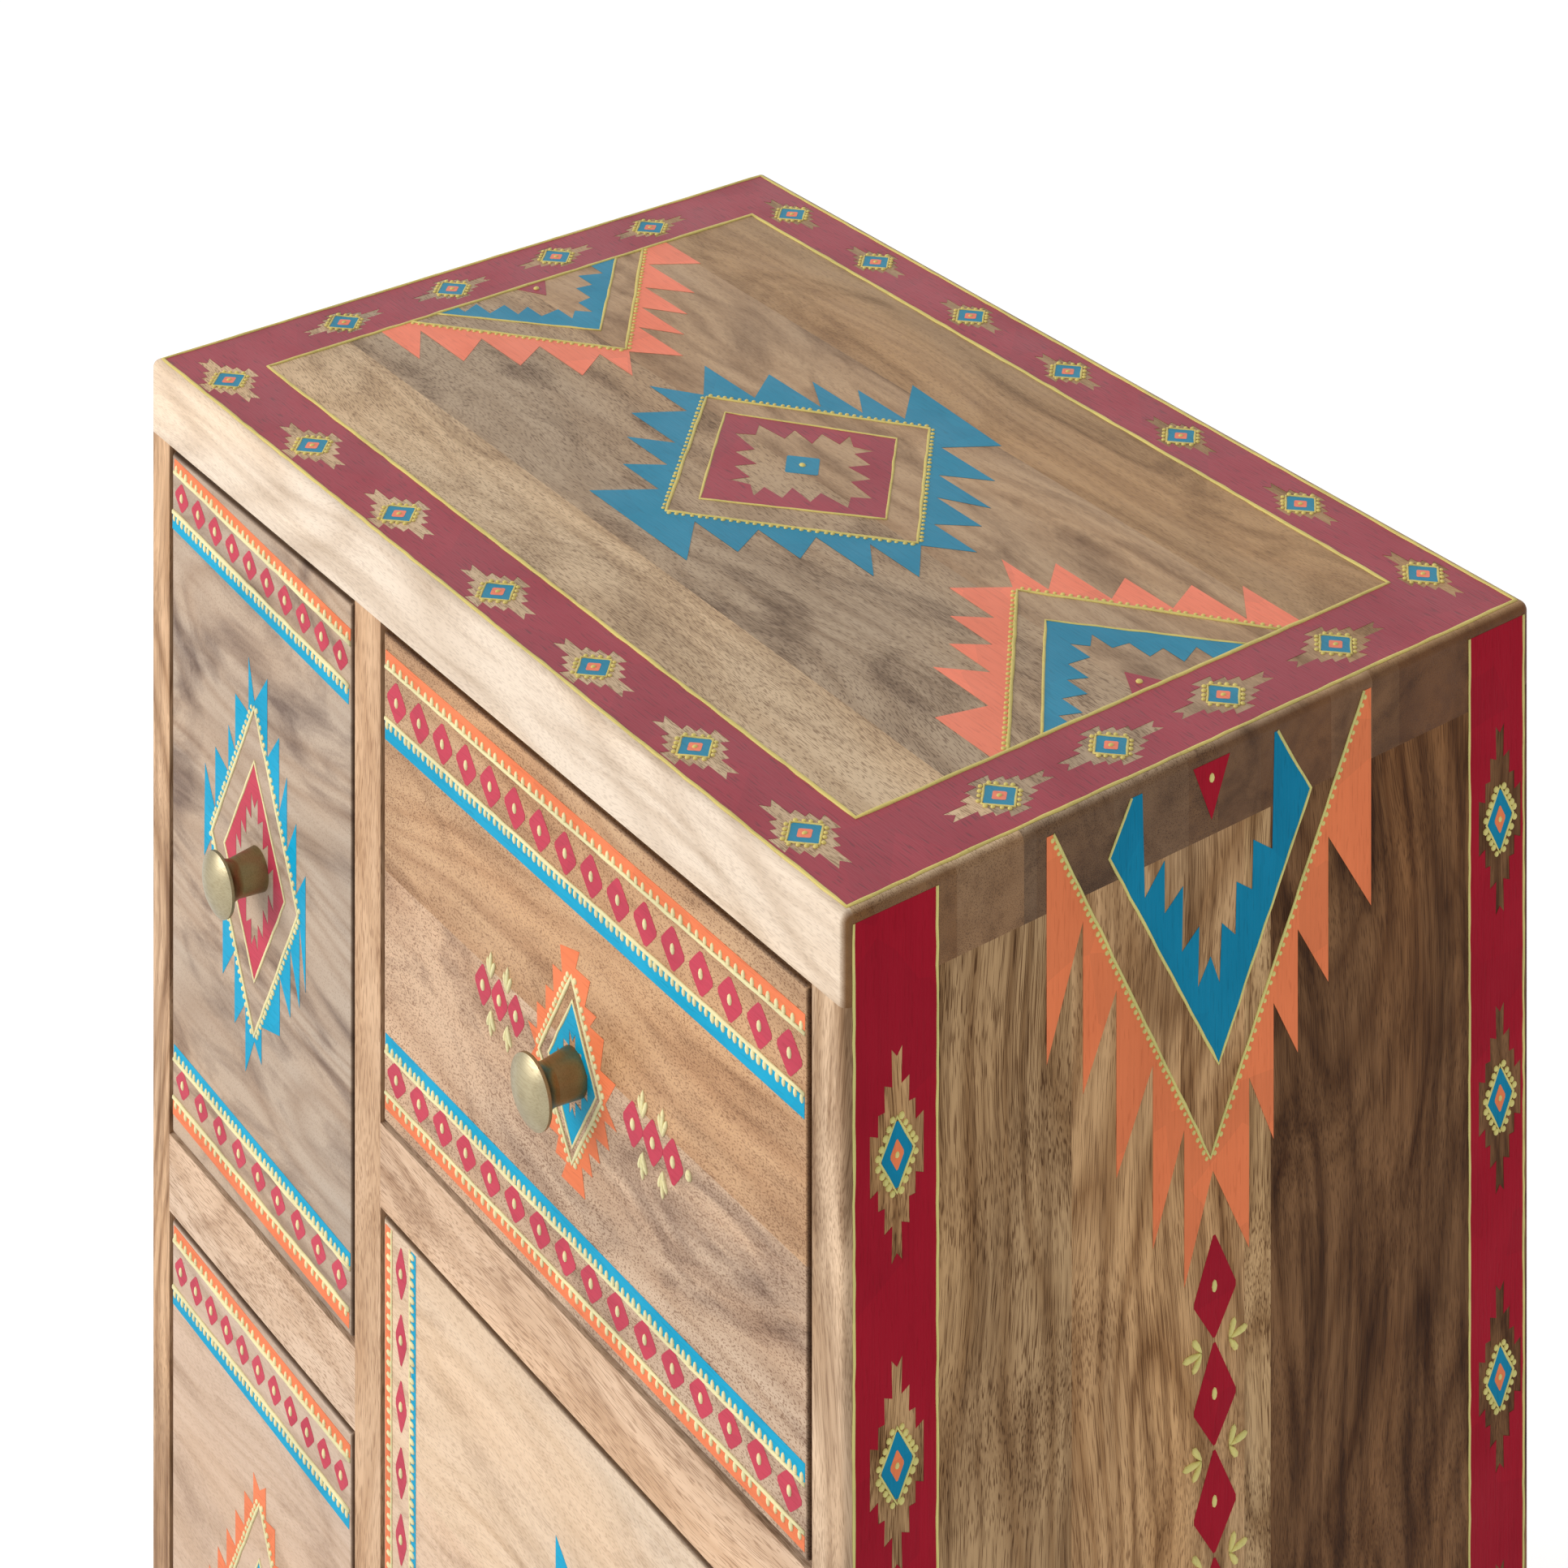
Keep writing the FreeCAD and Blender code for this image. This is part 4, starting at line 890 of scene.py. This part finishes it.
def hanging_diamond(coats, flip):
    """The toothed half diamond hanging from the side's top, or standing at its foot when flipped."""
    def place(points):
        return [(u, SIDE_FOOT - v) if flip else (u, v) for u, v in points]

    left_end, point, right_end = (82.3, UPPER_EDGE), (148.8, -132), (218.8, UPPER_EDGE)
    left_tips = [(137.5, -169), (124, -151), (108.5, -122), (94.5, -90), (79.5, -75)]
    right_tips = [(166, -168), (177, -137), (188, -113), (202, -95), (222, -77)]
    left_run = teeth(left_tips, point, left_end, LEFT_NOTCH, True) + [(79.5, UPPER_EDGE)]
    right_run = teeth(right_tips, point, right_end, RIGHT_NOTCH, True) + [(222, UPPER_EDGE)]
    outline = left_run[::-1] + [(150, -136.5)] + right_run + [right_end, point, left_end]
    coats["orange"].append(place(outline))
    drawn = place([right_end, point, left_end])
    beaded_line(coats, drawn[::-1] if flip else drawn, False, width=1.2)
    rim_line = [(115, UPPER_EDGE), (105.5, -20), (152.5, -103), (194, -28), (179, UPPER_EDGE)]
    spikes = [(177.5, UPPER_EDGE), (176.5, -42), (168, -36), (167.5, -52), (160.5, -47), (160, -64),
              (154, -58), (153, -77), (149, -67), (143.5, -75), (144, -55.5), (136.5, -61), (137, -40),
              (129, -46), (129, -29), (120.5, -38), (119.5, UPPER_EDGE)]
    coats["blue"].append(place(rim_line + spikes))
    coats["lines"].append((place(rim_line), False, SIDE_LINE))
    coats["red"].append(place([(141.5, UPPER_EDGE), (157.5, UPPER_EDGE), (149.5, -23)]))
    coats["beads"].append((*place([(149.5, -9.5)])[0], 0, *HANGING_DOT))


def painted_side(prefix, face):
    """Paint one side panel."""
    side = defaultdict(list)
    for near, far in (STRIP_FRONT, STRIP_REAR):
        side["crimson"].append(rectangle(near, STRIP_TOP, far, STRIP_FOOT))
        for edge in (near, far):
            side["lines"].append(([(edge, STRIP_TOP), (edge, STRIP_FOOT)], False, SIDE_LINE))
    for index in range(STRIP_MOTIFS):
        for row in (FRONT_MOTIFS, REAR_MOTIFS):
            centre = (row["u"], row["first"] - row["pitch"] * index)
            motif(side, centre, SIDE_MOTIF, SIDE_PATCH, True, SIDE_BEAD)
    side["crimson"] += side["bare"]
    hanging_diamond(side, False)
    hanging_diamond(side, True)
    for index in range(CHAIN_LINKS):
        upper = CHAIN_TOP - LINK * index
        waist, lower = upper - LINK_WAIST * LINK, upper - LINK
        link = [(CHAIN_MIDDLE, upper), (LINK_RIGHT, waist), (CHAIN_MIDDLE, lower), (LINK_LEFT, waist)]
        side["red"].append(blunted(link, blunt=0.05))
        side["beads"].append((CHAIN_MIDDLE, (upper + lower) / 2, 0, *LINK_DOT))
        if index:
            spray(side, (157, upper - 2.2), angle=0.1, fan=1.05, leaf=SIDE_LEAF, shorter=0.76)
            spray(side, (145, upper - 1.8), angle=math.pi, fan=0.95, leaf=SIDE_LEAF, shorter=0.80)
    lay_coats(prefix, face, side, side_palette, "case")


painted_side("right_side", painted_face((RIGHT, FRONT, TOP), (0, 1, 0), (0, 0, 1)))
painted_side("left_side", painted_face((LEFT, FRONT, TOP), (0, -1, 0), (0, 0, 1), -1))

# Painted fronts
# Bands of red lozenges between beaded lines run along the top and bottom of each drawer front and down
# the door's edges. A toothed diamond sits round each drawer's knob and in the middle of the door.
FRONT_BLUE = (0.0, 0.365, 0.59)
FRONT_ORANGE = (0.88, 0.22, 0.085)
FRONT_RED = (0.56, 0.052, 0.090)
# The front yellow is paler than on the top and sides: it is the yellow paint with a painted highlight from
# the bright front light.
FRONT_YELLOW_AND_HIGHLIGHT = (0.86, 0.77, 0.42)
FRONT_SHEEN = 0.10
front_palette = palette(
    paint("front_red", FRONT_RED, "X", FRONT_SHEEN),
    paint("front_blue", FRONT_BLUE, "X", FRONT_SHEEN),
    paint("front_orange", FRONT_ORANGE, "X", FRONT_SHEEN),
    paint("front_yellow_and_highlight", FRONT_YELLOW_AND_HIGHLIGHT, "X", FRONT_SHEEN))
front_face = painted_face((LEFT, FRONT, TOP), (1, 0, 0), (0, 0, 1))
DROP = (1.05, 1.7)
DROP_GAP = 0.95
DROP_PITCH = {"orange": 4.2, "blue": 3.1}
DOT = (1.15, 1.9)
LOZENGE_BLUNT = 0.1
LOZENGE_SWELL = 1.03
CORE_LINE = 1.2


def lozenge(coats, centre, half, dot):
    """A red lozenge with a dot on it."""
    coats["red"].append(blunted(diamond(centre, *half), LOZENGE_BLUNT, LOZENGE_SWELL))
    coats["beads"].append((*centre, 0, *dot))


def band(coats, start, end, count, half, width, stripes):
    """Lozenges between two beaded lines, each line with a stripe outside: (coat, line, near, far)."""
    angle = math.atan2(end[1] - start[1], end[0] - start[0])

    def beside(point, distance):
        return point[0] - math.sin(angle) * distance, point[1] + math.cos(angle) * distance

    for coat, line, near, far in stripes:
        stripe = [beside(start, near), beside(end, near), beside(end, far), beside(start, far)]
        coats[coat].append(stripe)
        drawn = [beside(start, line), beside(end, line)]
        coats["lines"].append((drawn, False, width))
        outward = math.copysign(width / 2 + DROP_GAP, line)
        bead_row(coats, *drawn, DROP_PITCH[coat], outward, *DROP)
    for index in range(count):
        lozenge(coats, between(start, end, (index + 0.5) / count), half, DOT)


def knob_diamond(coats, outline, corners, ring_coat, core, core_coat, heart):
    """A toothed diamond: teeth, a beaded line, a bare ring, and a core with a serrated bare heart."""
    coats[ring_coat] += [outline, corners]
    beaded_line(coats, corners, True, width=1.6, pitch=2.9, bead=1.0)
    coats["lines"].append((core, True, CORE_LINE))
    coats[core_coat] += [core, heart]


upper_left = defaultdict(list)
ENDS_LEFT = (19.6, 156.4)
LOZENGE_LEFT = (5.9, 6.0)
LINE_LEFT = 2.0
LOWER_STRIPES_LEFT = [("blue", 6.6, 7.6, 12.4), ("orange", -8.6, -9.8, -15.4)]
HEART_LEFT = {"first": (2.6, 29), "last": (14.5, 8), "count": 4, "core": (12.5, 24)}
band(upper_left, (ENDS_LEFT[0], -44.5), (ENDS_LEFT[1], -52.6), 10, LOZENGE_LEFT, LINE_LEFT,
     [("orange", 7.6, 8.6, 13), ("blue", -8.2, -9.4, -15)])
band(upper_left, (ENDS_LEFT[0], -273), (ENDS_LEFT[1], -278), 9, LOZENGE_LEFT, LINE_LEFT,
     LOWER_STRIPES_LEFT)
centre = (85, -162)
middle = diamond(centre, 33.5, 62)
apex, right_corner, foot, left_corner = middle
quarters = [
    (apex, left_corner, [(80.5, -83), (70, -101.5), (64.5, -116), (54, -129), (45.7, -139)]),
    (foot, left_corner, [(78, -241), (69.5, -227), (60, -213), (51, -192), (45, -175)]),
    (foot, right_corner, [(90.5, -232), (104.5, -214), (112.5, -203), (119.5, -196), (124, -188)]),
    (apex, right_corner, [(95, -85), (104, -103), (110, -115), (117, -129), (124, -145)]),
]
knob_diamond(upper_left, toothed_ring(middle, quarters, clearance=4, upright=True), middle, "blue",
             diamond(centre, 23.5, 41.6), "red", star(centre, **HEART_LEFT))
lay_coats("left_upper", front_face, upper_left, front_palette, "left_upper_drawer")

lower_left = defaultdict(list)
band(lower_left, (ENDS_LEFT[0], -346.5), (ENDS_LEFT[1], -350), 11, (5.4, 6.0), LINE_LEFT,
     [("orange", 9.2, 10.2, 15), ("blue", -9.2, -10.6, -16)])
band(lower_left, (ENDS_LEFT[0], -574), (ENDS_LEFT[1], -576), 10, LOZENGE_LEFT, LINE_LEFT,
     LOWER_STRIPES_LEFT)
centre = (89, -461)
teeth_left = star(centre, first=(4.8, 72), last=(40, 15), count=6, core=(39, 68))
knob_diamond(lower_left, teeth_left, diamond(centre, 34, 63), "orange",
             diamond(centre, 22, 42), "blue", star(centre, **HEART_LEFT))
lay_coats("left_lower", front_face, lower_left, front_palette, "left_lower_drawer")

right_drawer = defaultdict(list)
ENDS_RIGHT = (181.6, 430.4)
LINE_RIGHT = 1.6
CHAIN_DOT = (1.3, 2.1)
FRONT_LEAF = (4.7, 1.3)
SPRAYS = ((4.8, math.pi / 2), (-5.8, -math.pi / 2))
CHAINS = (
    {"lead": 247, "level": -122.8, "pitch": 10.5, "half": (5.6, 7.7)},
    {"lead": 338, "level": -121.8, "pitch": 11.3, "half": (6.2, 8.1)},
)
CHAIN_LOZENGES = 3
LAST_DROP = (369.4, -121.4, 0, 1.6, 1.9)
band(right_drawer, (ENDS_RIGHT[0], -52), (ENDS_RIGHT[1], -54.8), 16, (7.1, 7.7), LINE_RIGHT,
     [("orange", 9.8, 10.8, 15.8), ("blue", -8.7, -9.6, -16.2)])
band(right_drawer, (ENDS_RIGHT[0], -185.8), (ENDS_RIGHT[1], -188.3), 16, (6.9, 6.9), LINE_RIGHT,
     [("blue", 6.4, 7.2, 13), ("orange", -8.3, -9.3, -14)])
middle = [(302, -92), (320, -124), (302.4, -154), (282.3, -126)]
apex, right_corner, foot, left_corner = middle
quarters = [
    (left_corner, apex,
     [(275.5, -120.3), (281, -111.2), (286.4, -102.8), (290.6, -93.8), (295.2, -85)]),
    (right_corner, apex,
     [(328.1, -114.4), (321.2, -103.3), (316.8, -98.1), (313.1, -88.4), (306.7, -81.9)]),
    (right_corner, foot,
     [(328.7, -129.5), (324.4, -137.9), (318.9, -145.1), (314.5, -152), (310.2, -161.5)]),
    (left_corner, foot,
     [(276, -133), (281, -142), (286.5, -149), (292.4, -155.5), (296, -161.5)]),
]
centre = (302.5, -124.3)
heart_right = star(centre, first=(1.8, 14), last=(9, 4.5), count=3, core=(8, 11))
knob_diamond(right_drawer, toothed_ring(middle, quarters, clearance=4.5, upright=False), middle,
             "orange", diamond(centre, 14.3, 24.3), "blue", heart_right)
for chain in CHAINS:
    for index in range(CHAIN_LOZENGES):
        u = chain["lead"] + chain["pitch"] * index
        lozenge(right_drawer, (u, chain["level"]), chain["half"], CHAIN_DOT)
        if index:
            for rise, angle in SPRAYS:
                root = (u - chain["pitch"] / 2, chain["level"] + rise)
                spray(right_drawer, root, angle, fan=0.34, leaf=FRONT_LEAF, shorter=0.74)
right_drawer["beads"].append(LAST_DROP)
lay_coats("right_drawer", front_face, right_drawer, front_palette, "right_drawer")

door = defaultdict(list)
DOOR_TOP, DOOR_FOOT = -241, -594
DOOR_LOZENGES = 15
LOZENGE_DOOR = (4, 10)
LINE_DOOR = 1.1
DOOR_STRIPES = {
    192.5: [("blue", 6, 6.9, 10), ("orange", -6.6, -7.5, -11)],
    418.9: [("orange", 6.6, 7.5, 11), ("blue", -6, -6.9, -10)],
}
for u, stripes in DOOR_STRIPES.items():
    band(door, (u, DOOR_TOP), (u, DOOR_FOOT), DOOR_LOZENGES, LOZENGE_DOOR, LINE_DOOR, stripes)
centre = (306, -417.5)
teeth_door = star(centre, first=(13.5, 134.5), last=(90, 22), count=7, core=(86, 122))
heart_door = star(centre, first=(5, 54), last=(34, 14), count=5, core=(31, 46))
knob_diamond(door, teeth_door, diamond(centre, 78, 111), "blue",
             diamond(centre, 52, 76), "red", heart_door)
lay_coats("door", front_face, door, front_palette, "door")
bpy.data.objects.remove(bead_pattern)
bpy.data.objects.remove(leaf_pattern)

# Floor, light and camera
# A pale studio floor, white to the camera but keeping the cabinet's shadow, a large soft lamp at the
# front left and a white sky. The picture keeps uprights parallel while it looks down, so the camera's
# axes are slanted.
FLOOR_REACH = 12.0
FLOOR_WHITE = 0.86
FLOOR_ROUGHNESS = 0.9
FLOOR_GLOW = 0.42
SKY = 0.62
LAMP_SIDE = 1.8
LAMP_PLACE = Vector((-1.3, -2.6, 1.75))
LAMP_AIM = Vector((0, 0, 0.45))
LAMP_POWER = 62.0


def seen_by_camera(tree):
    """1 for what the camera, a reflection or a clear view meets, and 0 for plain lighting."""
    path = add_node(tree, "LightPath").outputs
    through = maths(tree, "MAXIMUM", path["Is Glossy Ray"], path["Is Transmission Ray"])
    return maths(tree, "MAXIMUM", path["Is Camera Ray"], through)


bpy.ops.object.select_all(action="DESELECT")
bpy.ops.mesh.primitive_plane_add(size=FLOOR_REACH)
floor = bpy.context.object
floor.name = "floor"
floor_paint, tree, shader = new_material("floor_paint")
shader.inputs["Base Color"].default_value = (FLOOR_WHITE, FLOOR_WHITE, FLOOR_WHITE, 1)
shader.inputs["Roughness"].default_value = FLOOR_ROUGHNESS
shader.inputs["Specular IOR Level"].default_value = 0.0
shader.inputs["Emission Color"].default_value = (1, 1, 1, 1)
glow = maths(tree, "MULTIPLY", seen_by_camera(tree), FLOOR_GLOW)
tree.links.new(glow, shader.inputs["Emission Strength"])
floor.data.materials.append(floor_paint)

world = bpy.data.worlds.new("studio_sky")
bpy.context.scene.world = world
world.use_nodes = True
tree = world.node_tree
sky = tree.nodes["Background"]
sky.inputs["Color"].default_value = (1, 1, 1, 1)
tree.links.new(map_range(tree, seen_by_camera(tree), least=SKY), sky.inputs["Strength"])

lamp_data = bpy.data.lights.new("front_lamp", "AREA")
lamp_data.shape = "SQUARE"
lamp_data.size = LAMP_SIDE
lamp_data.energy = LAMP_POWER
lamp = new_object("front_lamp", lamp_data)
lamp.location = LAMP_PLACE
lamp.rotation_euler = (LAMP_AIM - LAMP_PLACE).to_track_quat("-Z", "Y").to_euler()

CAMERA_PLACE = (1.1151, -0.8235, 1.3867)
CAMERA_YAW = math.radians(53.38065)
CAMERA_DROP = 0.576307
CAMERA_LENS = 99.45
CAMERA_SENSOR = 36
CAMERA_NEAR = 0.05
ahead = Vector((-math.sin(CAMERA_YAW), math.cos(CAMERA_YAW), -CAMERA_DROP)).normalized()
across = Vector((math.cos(CAMERA_YAW), math.sin(CAMERA_YAW), 0))
slant = Matrix((across, (0, 0, 1), -ahead)).transposed().to_4x4()
camera_data = bpy.data.cameras.new("picture_camera")
camera_data.lens = CAMERA_LENS
camera_data.sensor_width = CAMERA_SENSOR
camera_data.clip_start = CAMERA_NEAR
camera = new_object("picture_camera", camera_data)
stand = new_object("camera_stand", None)
camera.parent = stand
camera.matrix_parent_inverse = Matrix.Translation(CAMERA_PLACE) @ slant
bpy.context.scene.camera = camera
bpy.context.scene.view_settings.view_transform = "Standard"
